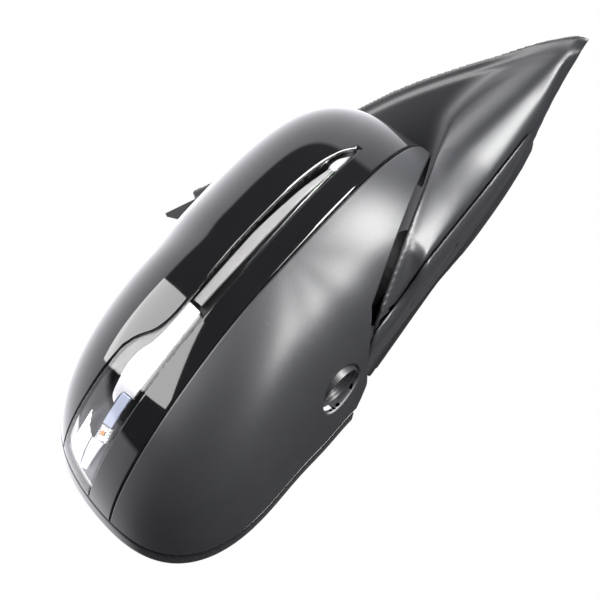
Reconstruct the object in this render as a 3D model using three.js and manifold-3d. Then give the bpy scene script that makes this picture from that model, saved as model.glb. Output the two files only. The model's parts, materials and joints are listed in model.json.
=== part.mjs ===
// A right-hand car door mirror: a folding head on an arm and sail that bolt to the door.
// Millimetres. +X points away from the door, +Y towards the front of the car, +Z up.
// The origin is on the face that lies against the door, square across from the fold axis.
import * as THREE from "three";
import { mergeVertices } from "three/addons/utils/BufferGeometryUtils.js";
import Module from "manifold-3d";

const wasm = await Module();
wasm.setup();

// ---------------------------------------------------------------- driving dimensions
const DEG = Math.PI / 180;
const GAP = 0.3; // between pieces that rest on each other
const WALL = 2.6; // moulded shells

// Fold axis and the head's own frame: u outboard, v forward, w up, from the fold axis.
const PIVOT_X = 100;
const SWEEP = 33 * DEG;

// Head shell: a dome over a closed rim outline in the u, w plane.
const RIM_V = -48;
const DOME_DEPTH = 108;
const DOME_TAPER = 0.12; // depth lost per mm outboard
const DOME_POWER = 2.5;
const DOME_CENTRE = { u: 52, w: 12 };
const RIM_OUTLINE = [
  [181, -10], [173, 34], [141, 63], [75, 77], [0, 82], [-44, 74], [-66, 46],
  [-71, 10], [-66, -26], [-40, -44], [0, -49], [70, -52], [135, -55], [170, -44],
];
const BEZEL_DEPTH = 12;
const BEZEL_WIDTH = 4.5;
const SPLIT_LINE = [[-110, 17], [-49, 12.3], [28, 7.5], [94, 3.5], [176, -5], [210, -8]];
const LENS_UPPER = [
  [-17, 24.8], [-6, 29], [20, 31.2], [60, 30.6], [99, 27.4], [116, 28.6], [128, 36.2], [142, 38.3], [210, 38],
];
const LENS_LOWER = [[210, 9], [100, 16], [30, 20.6], [-8, 23]];

// Lines in the head's u, w plane, each the top of the space below it.
const ARM_TOP = [[-260, 91.4], [200, -111]]; // the arm's top face, under the head
const HEAD_GAP = 3.3; // above the arm's top face
const FOLD_LINE = [[-260, 73.3], [200, -55.5]]; // the head's underside behind the fold axis
const GLASS_CORNER = [[-110, 38.3], [56, -8.2], [112, -50], [200, -116]]; // lower inboard edge of the glass
const TURRET_RADIUS = 43;
const TURRET_GAP = 0.9;
const FLOOR_THICK = 2.6;

// Door side: gasket, die-cast plate and sail cover, stacked outwards from the door.
const GASKET_THICK = 2;
const PLATE_THICK = 3;
const SAIL_THICK = 3;
const PLATE_X = GASKET_THICK + GAP;
const SAIL_X = PLATE_X + PLATE_THICK + GAP;
const SAIL_OUTLINE = [
  [128, -14], [117, -3], [104, 9], [74, 31], [44, 51], [15, 67], [-50, 99], [-105, 128],
  [-112, 120], [-118, 110], [-118, -21], [41, -22], [62, -18], [90, -14.5],
];

// Underside of the arm: z = UNDERSIDE_Z + UNDERSIDE_RISE * (UNDERSIDE_X - x).
const UNDERSIDE_Z = -44.6;
const UNDERSIDE_RISE = 0.165;
const UNDERSIDE_X = 138;
// Towards the front the underside rises: z = BOW.z + BOW.forward * y + BOW.outward * x.
const BOW = { z: -27, forward: 0.168, outward: -0.316 };
const LOWER_COVER_HEIGHT = 5;
const GASKET_CORNER = [[-50, 94], [-133, 137], [-134, 135], [-126, 121], [-112, 108]];
const PLUG = { x: 85, y: 10, radius: 19.5 };
// Arm sections at four distances from the door: [x, rear y, front y, lowest z, highest z, roundness].
const ARM_SECTIONS = [
  [-4, -49, 126, -24, 20, 2.0],
  [9, -49, 120, -26, 20, 2.0],
  [34, -48, 97, -31, 17, 2.2],
  [66, -47, 72, -37, 10, 2.5],
  [103, -46, 54, -41, -4, 2.7],
  [125, -34, 40, -43, -24, 2.7],
];

const ARM_AROUND = 20;

// Fold unit, measured up the fold axis; its worm and motor lie along u in front of the axis.
const BOSS = { radius: 25, low: -29, high: -12 };
const SHAFT = { radius: 8, bore: 5, high: 48, flange: 12, flangeThick: 2.6 };
const DETENT = { inner: 13, outer: 21, thick: 2.4, bump: 0.7, bumps: 3 };
const FOLD_GEAR = { radius: 19, root: 17.2, low: 1, high: 9, teeth: 20 };
const FOLD_HOUSING = { radius: 25, low: -6, high: 16.5, wall: 2.5, bore: 9, u: [-17, 54], v: [12.8, 36] };
const FOLD_WORM = { radius: 4.4, root: 3.2, v: 24.2, w: 5, start: -12, end: 14, stub: 20 };
const FOLD_MOTOR = { radius: 8.3, start: 21, end: 50 };
const SPRING = { radius: 11.5, wire: 1.3, low: 21.2, high: 37.3, turns: 5 };

// Mirror glass and the actuator that aims it, along v from the centre of the glass's universal joint.
const AIM = { u: 62, v: -32, w: 10 };
const JACK_ARM = 24; // from the aiming centre to each jack screw
const GLASS_MARGIN = 9;
const GLASS = [-9.5, -7.5];
const HEATER = [-7.2, -6.6];
const HOLDER = [-6.3, -4.1];
const ACTUATOR = { rear: 7.5, split: 18, front: 28.5, wall: 2, u: [-35, 24], w: [-38, 24], corner: 8 };
const ACTUATOR_NOTCH = { u: -12, w: -13.5 }; // corner left out so that the folding head clears the turret
const POST = { radius: 4, end: -2.8, bore: 1.35 };
const CARDAN = { inner: 4.6, outer: 7, half: 1.5, pin: 1, inside: 2.2, reach: 9.6 };
const JACK = { ball: 3.4, neck: 2, radius: 3.2, start: 4, end: 20.5 };
const JACK_GEAR = { radius: 9, root: 8, bore: 3.6, low: 14.5, high: 19.5, teeth: 14 };
const JACK_WORM = { radius: 3.1, root: 2.2, half: 5, offset: 12.8 };
const JACK_MOTOR = { radius: 6.6, length: 22, offset: 6.6 };
const FRAME = [0, 3]; // head frame plate, in v
const SCREW = { head: 3.6, headThick: 2.2, shank: 1.8, length: 9 };

// Lamps.
const LAYERS = { guide: [4.2, 6], reflector: [7, 8.6], backing: [9.6, 11.4] }; // depth below the outer form
const SIGNAL_END_U = 146;
const PUDDLE = { u: 63.5, v: 6, radius: 12.9, opening: 13.3, low: -49.5, high: -37, wall: 1.8 };

// Door side fastenings and wiring.
const STUDS = [[88, 2], [-62, 62], [-66, -8]];
const STUD = { radius: 3, end: -16, flange: 6, flangeThick: 1.2 };
const GROMMET = { y: -22, z: -2, radius: 12, bore: 5.4, inside: -5, flange: 14, flangeThick: 2.5 };
const HARNESS_RADIUS = 4.2;
const HARNESS_PATH = [
  [-42.5, -48, 24], [-36, -47, 23], [-20, -31, 7], [-8, GROMMET.y, GROMMET.z], [0, GROMMET.y, GROMMET.z],
  [20, -20, -6], [50, -12, -21], [82, -3, -28],
  [PIVOT_X - 1.5, 0, -20], [PIVOT_X, 0, 5], [PIVOT_X, 0, 52],
];
const CHANNEL_RADIUS = 5.2;
const HARNESS_STEPS = 22;

// ---------------------------------------------------------------- solids
function orient(geometry, axis) {
  // Turns a solid made along z so that it lies along the named axis.
  if (axis === "x") {
    const turn = new THREE.Matrix4().makeBasis(
      new THREE.Vector3(0, 1, 0), new THREE.Vector3(0, 0, 1), new THREE.Vector3(1, 0, 0));
    return geometry.applyMatrix4(turn);
  }
  if (axis === "y") {
    const turn = new THREE.Matrix4().makeBasis(
      new THREE.Vector3(1, 0, 0), new THREE.Vector3(0, 0, 1), new THREE.Vector3(0, -1, 0));
    return geometry.applyMatrix4(turn);
  }
  return geometry;
}

function solidOf(geometry) {
  const bare = geometry.clone();
  bare.deleteAttribute("normal");
  bare.deleteAttribute("uv");
  const merged = mergeVertices(bare, 1e-3);
  const position = merged.attributes.position;
  const corners = [];
  let volume = 0;
  const [a, b, c] = [new THREE.Vector3(), new THREE.Vector3(), new THREE.Vector3()];
  for (let i = 0; i < merged.index.count; i += 3) {
    const [p, q, r] = [0, 1, 2].map((k) => merged.index.getX(i + k));
    if (p === q || q === r || r === p) continue;
    corners.push(p, q, r);
    a.fromBufferAttribute(position, p);
    b.fromBufferAttribute(position, q);
    c.fromBufferAttribute(position, r);
    volume += a.dot(b.cross(c));
  }
  if (volume < 0) corners.reverse();
  const mesh = new wasm.Mesh({
    numProp: 3,
    vertProperties: new Float32Array(position.array),
    triVerts: Uint32Array.from(corners),
  });
  mesh.merge();
  return new wasm.Manifold(mesh);
}

function geometryOf(solid) {
  const mesh = solid.getMesh();
  const geometry = new THREE.BufferGeometry();
  geometry.setAttribute("position", new THREE.BufferAttribute(Float32Array.from(mesh.vertProperties), 3));
  geometry.setIndex(new THREE.BufferAttribute(Uint32Array.from(mesh.triVerts), 1));
  return geometry;
}

// A cut that grazes a curved face can leave a sliver beside the piece: this keeps the piece.
function mainBody(solid) {
  return solidOf(geometryOf(solid)).decompose().sort((a, b) => b.volume() - a.volume())[0];
}

const union = (...solids) => solids.reduce((sum, next) => sum.add(next));

function prism(outline, axis, from, to) {
  // outline: [a, b] points or a THREE.Shape, in y,z for axis x; in x,z for axis y; in x,y for axis z.
  const drawn = outline instanceof THREE.Shape;
  const shape = drawn ? outline : new THREE.Shape(outline.map(([a, b]) => new THREE.Vector2(a, b)));
  const geometry = new THREE.ExtrudeGeometry(shape, {
    depth: to - from, bevelEnabled: false, curveSegments: 5,
  });
  if (axis === "y") return solidOf(orient(geometry.translate(0, 0, -to), axis));
  return solidOf(orient(geometry.translate(0, 0, from), axis));
}

function lathe(profile, axis, at = [0, 0, 0], segments = 24) {
  // profile: [radius, height] points up the axis, closed or ending on the axis.
  const points = profile.map(([r, h]) => new THREE.Vector2(r, h));
  const geometry = new THREE.LatheGeometry(points, segments);
  if (axis === "x") geometry.rotateZ(-Math.PI / 2);
  if (axis === "z") geometry.rotateX(Math.PI / 2);
  return solidOf(geometry.translate(...at));
}

const rod = (radius, axis, from, to, at = [0, 0, 0], segments = 14) =>
  lathe([[0, from], [radius, from], [radius, to], [0, to]], axis, at, segments);

const ring = (inner, outer, axis, from, to, at = [0, 0, 0], segments = 18) =>
  lathe([[inner, from], [outer, from], [outer, to], [inner, to], [inner, from]], axis, at, segments);

function block(x, y, z) {
  // Each argument is [low, high].
  const geometry = new THREE.BoxGeometry(x[1] - x[0], y[1] - y[0], z[1] - z[0]);
  return solidOf(geometry.translate((x[0] + x[1]) / 2, (y[0] + y[1]) / 2, (z[0] + z[1]) / 2));
}

function cable(points, radius, segments, sides = 4) {
  const path = new THREE.CatmullRomCurve3(points.map((p) => new THREE.Vector3(...p)));
  const shape = new THREE.Shape().absarc(0, 0, radius, 0, 2 * Math.PI);
  const settings = { steps: segments, extrudePath: path, curveSegments: sides };
  return solidOf(new THREE.ExtrudeGeometry(shape, settings));
}

function loft(rings) {
  // Closed solid through a list of rings with equal numbers of points.
  const count = rings[0].length;
  const positions = rings.flat().flatMap((p) => [p.x, p.y, p.z]);
  const index = [];
  for (let r = 0; r + 1 < rings.length; r += 1) {
    for (let k = 0; k < count; k += 1) {
      const next = (k + 1) % count;
      const [a, b] = [r * count + k, r * count + next];
      index.push(a, b, b + count, a, b + count, a + count);
    }
  }
  for (const [r, flip] of [[0, true], [rings.length - 1, false]]) {
    const centre = positions.length / 3;
    const middle = rings[r].reduce((sum, p) => sum.add(p), new THREE.Vector3()).divideScalar(count);
    positions.push(middle.x, middle.y, middle.z);
    for (let k = 0; k < count; k += 1) {
      const [a, b] = [r * count + k, r * count + ((k + 1) % count)];
      index.push(...(flip ? [b, a, centre] : [a, b, centre]));
    }
  }
  const geometry = new THREE.BufferGeometry();
  geometry.setAttribute("position", new THREE.Float32BufferAttribute(positions, 3));
  geometry.setIndex(index);
  return geometry;
}

// ---------------------------------------------------------------- shared shapes
const RIM_CURVE = new THREE.CatmullRomCurve3(
  RIM_OUTLINE.map(([u, w]) => new THREE.Vector3(u, 0, w)), true, "centripetal");

function rimPoints(inset, count) {
  // The rim outline moved towards the dome's centre.
  return RIM_CURVE.getSpacedPoints(count).slice(0, count).map((p) => {
    const du = p.x - DOME_CENTRE.u;
    const dw = p.z - DOME_CENTRE.w;
    const scale = 1 - inset / Math.hypot(du, dw);
    return [DOME_CENTRE.u + du * scale, DOME_CENTRE.w + dw * scale];
  });
}

function domeGeometry(inset, back, around = 36, rings = 6) {
  // The head's outer form, made smaller by inset, and carried straight back to v = back.
  const rim = rimPoints(inset, around);
  const levels = [];
  for (let k = 0; k <= rings; k += 1) {
    const angle = (Math.PI / 2) * ((k + 0.35) / (rings + 0.35));
    const [s, c] = [Math.sin(angle), Math.max(Math.cos(angle), 0)];
    const q = (s ** DOME_POWER + c ** DOME_POWER) ** (-1 / DOME_POWER);
    levels.push(rim.map(([ru, rw]) => {
      const u = DOME_CENTRE.u + (ru - DOME_CENTRE.u) * q * s;
      const w = DOME_CENTRE.w + (rw - DOME_CENTRE.w) * q * s;
      const v = RIM_V + q * c * (DOME_DEPTH - inset - DOME_TAPER * (u - DOME_CENTRE.u));
      return new THREE.Vector3(u, v, w);
    }));
  }
  if (back < RIM_V) levels.push(levels.at(-1).map((p) => new THREE.Vector3(p.x, back, p.z)));
  return loft(levels);
}

const headToDoor = new THREE.Matrix4().makeTranslation(PIVOT_X, 0, 0)
  .multiply(new THREE.Matrix4().makeRotationZ(-SWEEP));

function fromSpline(points, divisions) {
  const curve = new THREE.SplineCurve(points.map(([a, b]) => new THREE.Vector2(a, b)));
  return curve.getPoints(divisions).map((p) => [p.x, p.y]);
}

function splitRegion(side, gap) {
  // Everything above (side 1) or below (side -1) the line between cap and lower housing, seen along v.
  const line = fromSpline(SPLIT_LINE, 12).map(([u, w]) => [u, w + side * gap / 2]);
  const far = side > 0 ? 120 : -90;
  return prism([...line, [210, far], [-110, far]], "y", -60, 90);
}

function lensRegion(grow) {
  // The turn signal's outline, seen along v, made larger by grow; a negative grow shortens its slim tip fast.
  const tip = LENS_UPPER[0][0] - grow * (grow < 0 ? 5 : 1);
  const upper = fromSpline(LENS_UPPER, 22).filter(([u]) => u > tip + 1).map(([u, w]) => [u, w + grow]);
  const lower = fromSpline(LENS_LOWER, 9).filter(([u]) => u > tip + 1).map(([u, w]) => [u, w - grow]);
  return prism([[tip, LENS_UPPER[0][1]], ...upper, ...lower], "y", -60, 90);
}

function below(line, rise) {
  // The space below a line of the head's frame, with the line moved up by rise.
  return prism([[200, -120], [-260, -120], ...line.map(([u, w]) => [u, w + rise])], "y", -230, 120);
}

function armPlan(gap) {
  // The arm's outline seen from above, in the head's frame: a round turret, open towards the door.
  const front = [[36.3 + gap, 28.3], [28.4 + gap * 2, 43.7], [20 + gap, 95], [-260, 95]];
  const rear = [[-260, -224], [23.4, -36.1]];
  const wedge = prism([...front, ...rear], "z", -90, 80);
  return wedge.add(rod(TURRET_RADIUS + gap, "z", -90, 80, [0, 0, 0], 36));
}

const asDoor = (solid) => solidOf(geometryOf(solid).applyMatrix4(headToDoor));

function armLoft(inset) {
  const rings = ARM_SECTIONS.map(([x, rear, front, low, high, power]) => {
    const middle = [(rear + front) / 2, (low + high) / 2];
    const half = [(front - rear) / 2 - inset, (high - low) / 2 - inset];
    return Array.from({ length: ARM_AROUND }, (_, k) => {
      const angle = (2 * Math.PI * k) / ARM_AROUND;
      const round = (value) => Math.sign(value) * Math.abs(value) ** (2 / power);
      const along = round(Math.cos(angle));
      const drop = Math.max(0, along) ** 2 * Math.max(0, 1 - Math.max(x, 0) / 70) * 0.42;
      const up = round(Math.sin(angle)) * (1 - drop);
      return new THREE.Vector3(x, middle[0] + half[0] * along, middle[1] + half[1] * (up - drop));
    });
  });
  if (inset > 0) rings.forEach((r, i) => i === rings.length - 1 && r.forEach((p) => { p.x -= inset; }));
  return solidOf(loft(rings));
}

function aboveBow(inset) {
  // The space above the rising front of the underside: level along x, then sheared down outwards.
  const at = (y) => BOW.z + BOW.forward * y + inset;
  const level = geometryOf(prism([[-160, at(-160)], [160, at(160)], [160, 120], [-160, 120]], "x", -20, 160));
  const shear = new THREE.Matrix4().set(1, 0, 0, 0, 0, 1, 0, 0, BOW.outward, 0, 1, 0, 0, 0, 0, 1);
  return solidOf(level.applyMatrix4(shear));
}

function armForm(inset) {
  // The arm's outer form, or its hollow when inset is more than 0.
  const dome = solidOf(domeGeometry(inset, RIM_V - 2).applyMatrix4(headToDoor));
  const near = asDoor(prism([[-62, -44], [60, -44], [60, 90], [-62, 90]], "z", -90, 40));
  const body = armLoft(inset).add(dome.intersect(near));
  const inDoor = asDoor(below(ARM_TOP, -inset).intersect(armPlan(-inset)));
  const underside = (x) => UNDERSIDE_Z + UNDERSIDE_RISE * (UNDERSIDE_X - x) + inset;
  const keep = prism([[-20, underside(-20)], [160, underside(160)], [160, 60], [-20, 60]], "y", -140, 160);
  return body.intersect(inDoor).intersect(keep).intersect(aboveBow(inset));
}

function lowerCoverRegion(gap) {
  const at = (x) => UNDERSIDE_Z + UNDERSIDE_RISE * (UNDERSIDE_X - x) + LOWER_COVER_HEIGHT + gap;
  return prism([[16, -90], [160, -90], [160, at(160)], [16, at(16)]], "y", -60, 150);
}

// ---------------------------------------------------------------- materials
function finish(colour, roughness, metalness = 0, opacity = 1) {
  const transparent = opacity < 1;
  return new THREE.MeshStandardMaterial({ color: colour, roughness, metalness, opacity, transparent });
}
const gloss_black = finish(0x08080a, 0.06);
const grained_black = finish(0x26272a, 0.55);
const frame_black = finish(0x1b1c1e, 0.6);
const clear_plastic = finish(0xf2f4f5, 0.03, 0, 0.35);
const bright_reflector = finish(0xd8dadb, 0.15, 0.9);
const cast_aluminium = finish(0x9a9c9e, 0.45, 0.9);
const steel = finish(0x8b8d90, 0.35, 1);
const silvered_glass = finish(0xcfd5d8, 0.02, 1);
const soft_rubber = finish(0x161617, 0.85);
const gear_white = finish(0xe6e3da, 0.5);
const board_green = finish(0x1f5a38, 0.5);
const brass = finish(0xb08a3e, 0.35, 1);

// ---------------------------------------------------------------- assembly
const mirror = new THREE.Group();
const head = new THREE.Group();
head.position.x = PIVOT_X;
head.rotation.z = -SWEEP;
mirror.add(head);

function place(group, name, solid, material) {
  const mesh = new THREE.Mesh(geometryOf(solid), material);
  mesh.name = name;
  group.add(mesh);
  return mesh;
}

function screw(group, name, axis, at, direction) {
  // A pan-head screw with its head at `at`, its shank running along the axis in the given direction.
  const { head: headRadius, headThick, shank, length } = SCREW;
  const profile = [
    [0, -headThick], [headRadius, -headThick], [headRadius, 0], [shank, 0], [shank, length], [0, length],
  ];
  place(group, name, lathe(profile.map(([r, h]) => [r, h * direction]), axis, at, 8), steel);
}

function turned(profile, axis, at, segments) {
  return lathe([...profile, profile[0]], axis, at, segments);
}

function gearOutline(radius, root, teeth) {
  // Trapezoid teeth, as [a, b] points round the axis.
  return Array.from({ length: teeth * 4 }, (_, k) => {
    const angle = (2 * Math.PI * (Math.floor(k / 4) + [0, 0.22, 0.5, 0.72][k % 4])) / teeth;
    const r = k % 4 < 2 ? radius : root;
    return [r * Math.cos(angle), r * Math.sin(angle)];
  });
}

function wormProfile(radius, root, from, to, threads) {
  // [radius, height] points of a worm, with its thread drawn as ridges.
  const pitch = (to - from) / threads;
  const points = [[0, from]];
  for (let k = 0; k < threads; k += 1) {
    const start = from + k * pitch;
    points.push([root, start], [radius, start + 0.35 * pitch], [radius, start + 0.65 * pitch]);
  }
  return [...points, [root, to], [0, to]];
}

const outer = solidOf(domeGeometry(0, RIM_V));
const hollow = solidOf(domeGeometry(WALL, RIM_V - 6));
const TURRET_CLEAR = TURRET_RADIUS + TURRET_GAP;
const NOTCH_EDGE = [[53, -60], [50, -36], [TURRET_CLEAR, -14], [TURRET_CLEAR, 0]]; // in u, v
const behindAxis = prism([[-260, -200], [53, -200], ...NOTCH_EDGE, [-260, 0]], "z", -100, 80);
const armSpace = below(ARM_TOP, HEAD_GAP).intersect(armPlan(TURRET_GAP))
  .add(below(FOLD_LINE, 0).intersect(behindAxis));
const innerArmSpace = below(FOLD_LINE, FLOOR_THICK + 1)
  .intersect(block([-260, TURRET_CLEAR + 4], [-200, 40], [-100, 80]));

function headShells() {
  const front = block([-120, 220], [RIM_V + BEZEL_DEPTH + GAP, 90], [-90, 120]);
  const shell = outer.subtract(hollow).intersect(front).subtract(armSpace);
  place(head, "upper_cap", shell.intersect(splitRegion(1, GAP)).subtract(lensRegion(GAP)), gloss_black);
  const lamp = rod(PUDDLE.opening, "z", -70, -30, [PUDDLE.u, PUDDLE.v, 0]);
  place(head, "lower_housing", shell.intersect(splitRegion(-1, GAP)).subtract(lamp), grained_black);
  place(head, "turn_signal_lens", shell.intersect(lensRegion(0)), clear_plastic);
  const opening = prism(rimPoints(BEZEL_WIDTH, 36), "y", RIM_V - 5, 0);
  const bezel = outer.intersect(block([-120, 220], [RIM_V - 1, RIM_V + BEZEL_DEPTH], [-90, 120]));
  place(head, "rear_bezel", bezel.subtract(opening).subtract(armSpace), frame_black);
}

function headFloor() {
  // Closes the head's underside where it is cut back to fold past the arm.
  const room = block([-120, 80], [RIM_V + GAP, -1], [-90, 90]);
  const edge = (reach) => NOTCH_EDGE.map(([u, v]) => [u + reach, v]);
  const beside = (reach) => prism([[-130, -60], ...edge(reach), [-130, 0]], "z", -100, 80);
  const top = below(FOLD_LINE, FLOOR_THICK).intersect(room);
  const slab = top.subtract(below(FOLD_LINE, GAP)).intersect(beside(FLOOR_THICK));
  const side = top.intersect(beside(FLOOR_THICK)).subtract(beside(GAP));
  const inside = solidOf(domeGeometry(BEZEL_WIDTH + GAP, RIM_V - 6));
  const foldUnit = rod(FOLD_HOUSING.radius + 0.6, "z", -90, 90, [0, 0, 0], 28);
  place(head, "head_floor", slab.add(side).intersect(inside).subtract(foldUnit), frame_black);
}

function turnSignal() {
  const end = block([-30, SIGNAL_END_U], [-60, 90], [0, 60]);
  const layer = ([near, far], inset) => solidOf(domeGeometry(near, RIM_V, 24, 5))
    .subtract(solidOf(domeGeometry(far, RIM_V - 6, 24, 5))).intersect(lensRegion(-inset)).intersect(end);
  place(head, "light_guide", layer(LAYERS.guide, 2.2), clear_plastic);
  place(head, "signal_reflector", layer(LAYERS.reflector, 1.2), bright_reflector);
  place(head, "signal_backing", layer(LAYERS.backing, 0.6), frame_black);
  place(head, "led_board", block([118, 138], [3.4, 5], [18, 32]), board_green);
}

function puddleLamp() {
  const { u, v, radius, low, high, wall } = PUDDLE;
  const inner = radius - wall;
  const cup = [
    [inner, low], [radius, low], [radius, high], [0, high], [0, high - wall], [inner, high - wall],
  ];
  place(head, "puddle_lamp_housing", turned(cup, "z", [u, v, 0], 28), frame_black);
  place(head, "puddle_lamp_lens", rod(inner - GAP, "z", low + 1.5, low + 3, [u, v, 0], 28), clear_plastic);
  const board = rod(inner - 2, "z", high - wall - 3, high - wall - 1.6, [u, v, 0]);
  place(head, "puddle_lamp_board", board, board_green);
}

// ---------------------------------------------------------------- mirror glass and its actuator
const pan = [AIM.u - JACK_ARM, AIM.w];
const tilt = [AIM.u, AIM.w - JACK_ARM];
const atAim = ([near, far]) => [AIM.v + near, AIM.v + far];

function glassSheet(margin, [near, far]) {
  const sheet = prism(rimPoints(margin, 36), "y", AIM.v + near, AIM.v + far);
  return sheet.subtract(below(GLASS_CORNER, margin - GLASS_MARGIN));
}

function mirrorGlass() {
  place(head, "mirror_glass", glassSheet(GLASS_MARGIN, GLASS), silvered_glass);
  place(head, "glass_heater", glassSheet(GLASS_MARGIN + 2, HEATER), soft_rubber);
  let holder = glassSheet(GLASS_MARGIN + 1, HOLDER);
  for (const side of [-1, 1]) {
    const middle = AIM.u + side * (CARDAN.outer + 2.8);
    const depth = [AIM.v + HOLDER[1] - 1, AIM.v + 2.2];
    const lug = block([middle - 1.6, middle + 1.6], depth, [AIM.w - 3, AIM.w + 3]);
    holder = holder.add(lug).subtract(rod(POST.bore, "x", middle - 3, middle + 3, [0, AIM.v, AIM.w], 12));
  }
  for (const [u, w] of [pan, tilt]) {
    const socket = ring(JACK.ball + 1.2, JACK.ball + 3.2, "y", AIM.v + HOLDER[1] - 1, AIM.v + 1, [u, 0, w]);
    holder = holder.add(socket);
  }
  place(head, "glass_holder", holder, frame_black);
}

function cardanRing() {
  const { inner, outer: outside, half, pin, inside, reach } = CARDAN;
  let solid = ring(inner, outside, "y", AIM.v - half, AIM.v + half, [AIM.u, 0, AIM.w]);
  for (const side of [-1, 1]) {
    const [a, b] = [inside, (inner + outside) / 2].map((r) => side * r).sort((p, q) => p - q);
    const [c, d] = [(inner + outside) / 2, reach].map((r) => side * r).sort((p, q) => p - q);
    solid = solid.add(rod(pin, "z", a, b, [AIM.u, AIM.v, AIM.w], 10));
    solid = solid.add(rod(pin, "x", c, d, [AIM.u, AIM.v, AIM.w], 10));
  }
  place(head, "cardan_ring", solid, gear_white);
}

function roundedBox([u0, u1], [v0, v1], [w0, w1], corner) {
  const shape = new THREE.Shape();
  shape.absarc(u1 - corner, w1 - corner, corner, 0, Math.PI / 2);
  shape.absarc(u0 + corner, w1 - corner, corner, Math.PI / 2, Math.PI);
  shape.absarc(u0 + corner, w0 + corner, corner, Math.PI, 1.5 * Math.PI);
  shape.absarc(u1 - corner, w0 + corner, corner, 1.5 * Math.PI, 2 * Math.PI);
  return prism(shape, "y", v0, v1);
}

const ACTUATOR_SCREWS = [[AIM.u + 18, AIM.w - 31], [AIM.u - 29, AIM.w + 18], [AIM.u + 18, AIM.w + 18]];

function actuator() {
  const { rear, split, front, wall, u, w, corner } = ACTUATOR;
  const [us, ws] = [u.map((d) => AIM.u + d), w.map((d) => AIM.w + d)];
  const notchEnd = [AIM.u + ACTUATOR_NOTCH.u, AIM.w + ACTUATOR_NOTCH.w];
  const notch = (inset) => block([-200, notchEnd[0] + inset], [-100, 100], [-200, notchEnd[1] + inset]);
  const shrunk = ([low, high], inset) => [low + inset, high - inset];
  const box = (v, inset) => roundedBox(shrunk(us, inset), v, shrunk(ws, inset), corner - inset)
    .subtract(notch(inset));
  const cavity = box(atAim([rear + wall, front - wall]), wall);
  const hole = ([a, b]) => rod(JACK.radius + 0.5, "y", AIM.v, AIM.v + rear + 4, [a, 0, b], 16);
  const holes = union(...[pan, tilt].map(hole));
  const post = rod(POST.radius, "y", AIM.v + POST.end, AIM.v + rear + 1, [AIM.u, 0, AIM.w])
    .subtract(rod(POST.bore, "z", -9, 9, [AIM.u, AIM.v, AIM.w], 12));
  const rearShell = box(atAim([rear, split - GAP / 2]), 0).subtract(cavity).subtract(holes).add(post);
  place(head, "actuator_rear_shell", rearShell, frame_black);
  const screwHole = ([a, b]) => rod(SCREW.shank + GAP, "y", -20, 10, [a, 0, b], 12);
  const screws = union(...ACTUATOR_SCREWS.map(screwHole));
  const frontShell = box(atAim([split + GAP / 2, front]), 0).subtract(cavity).subtract(screws);
  place(head, "actuator_front_shell", frontShell, frame_black);
  ACTUATOR_SCREWS.forEach(([a, b], i) => {
    screw(head, `actuator_screw_${i + 1}`, "y", [a, FRAME[1] + GAP, b], -1);
  });
}

function jackScrew(name, [u, w]) {
  const ball = new THREE.SphereGeometry(JACK.ball, 12, 8);
  const { neck, radius, start, end } = JACK;
  const profile = [[0, -1], [neck, -1], [neck, start], [radius, start], [radius, end], [0, end]];
  const body = turned(profile, "y", [0, 0, 0], 12);
  place(head, name, solidOf(geometryOf(solidOf(ball).add(body)).translate(u, AIM.v, w)), gear_white);
}

function jackGear(name, [u, w]) {
  const outline = gearOutline(JACK_GEAR.radius, JACK_GEAR.root, JACK_GEAR.teeth);
  const teeth = prism(outline, "y", AIM.v + JACK_GEAR.low, AIM.v + JACK_GEAR.high);
  const hole = rod(JACK_GEAR.bore, "y", AIM.v, AIM.v + 30, [0, 0, 0], 16);
  place(head, name, solidOf(geometryOf(teeth.subtract(hole)).translate(u, 0, w)), gear_white);
}

function jackDrives() {
  const v = AIM.v + (JACK_GEAR.low + JACK_GEAR.high) / 2;
  const { radius, root, half, offset } = JACK_WORM;
  const motor = [JACK_MOTOR.offset, JACK_MOTOR.offset + JACK_MOTOR.length];
  const worm = wormProfile(radius, root, -half, half, 4);
  for (const [name, at] of [["pan", pan], ["tilt", tilt]]) {
    jackScrew(`${name}_jack_screw`, at);
    jackGear(`${name}_gear`, at);
  }
  place(head, "pan_worm", lathe(worm, "x", [pan[0], v, pan[1] + offset], 10), brass);
  place(head, "pan_motor", rod(JACK_MOTOR.radius, "x", ...motor, [pan[0], v, pan[1] + offset]), steel);
  place(head, "tilt_worm", lathe(worm, "z", [tilt[0] + offset, v, tilt[1]], 10), brass);
  place(head, "tilt_motor", rod(JACK_MOTOR.radius, "z", ...motor, [tilt[0] + offset, v, tilt[1]]), steel);
}

function headFrame() {
  const { radius, low } = FOLD_HOUSING;
  const plate = prism(rimPoints(20, 30), "y", ...FRAME);
  const rib = (w) => block([34, 126], [FRAME[1] - 0.5, FRAME[1] + 6], [w - 1.2, w + 1.2]);
  const foldSpace = rod(radius + 1, "z", low - 60, SHAFT.high + 5.5, [0, 0, 0], 32);
  const window = roundedBox([110, 152], [-20, 20], [-30, 14], 8);
  const lamp = rod(PUDDLE.radius + 2, "z", -90, PUDDLE.high + 2, [PUDDLE.u, PUDDLE.v, 0]);
  const screwHole = ([a, b]) => rod(SCREW.shank + GAP, "y", -20, 20, [a, 0, b], 12);
  const screws = union(...ACTUATOR_SCREWS.map(screwHole));
  const bracket = block([24, 62], [FRAME[1] - 1, FRAME[1] + 4], [12, 18]);
  const signal = lensRegion(2).intersect(block([118, 220], [-60, 90], [-10, 60]));
  place(head, "head_frame", plate.add(rib(44)).add(rib(-36)).add(bracket).subtract(foldSpace).subtract(window)
    .subtract(lamp).subtract(screws).subtract(signal).subtract(innerArmSpace), frame_black);
}

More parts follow.
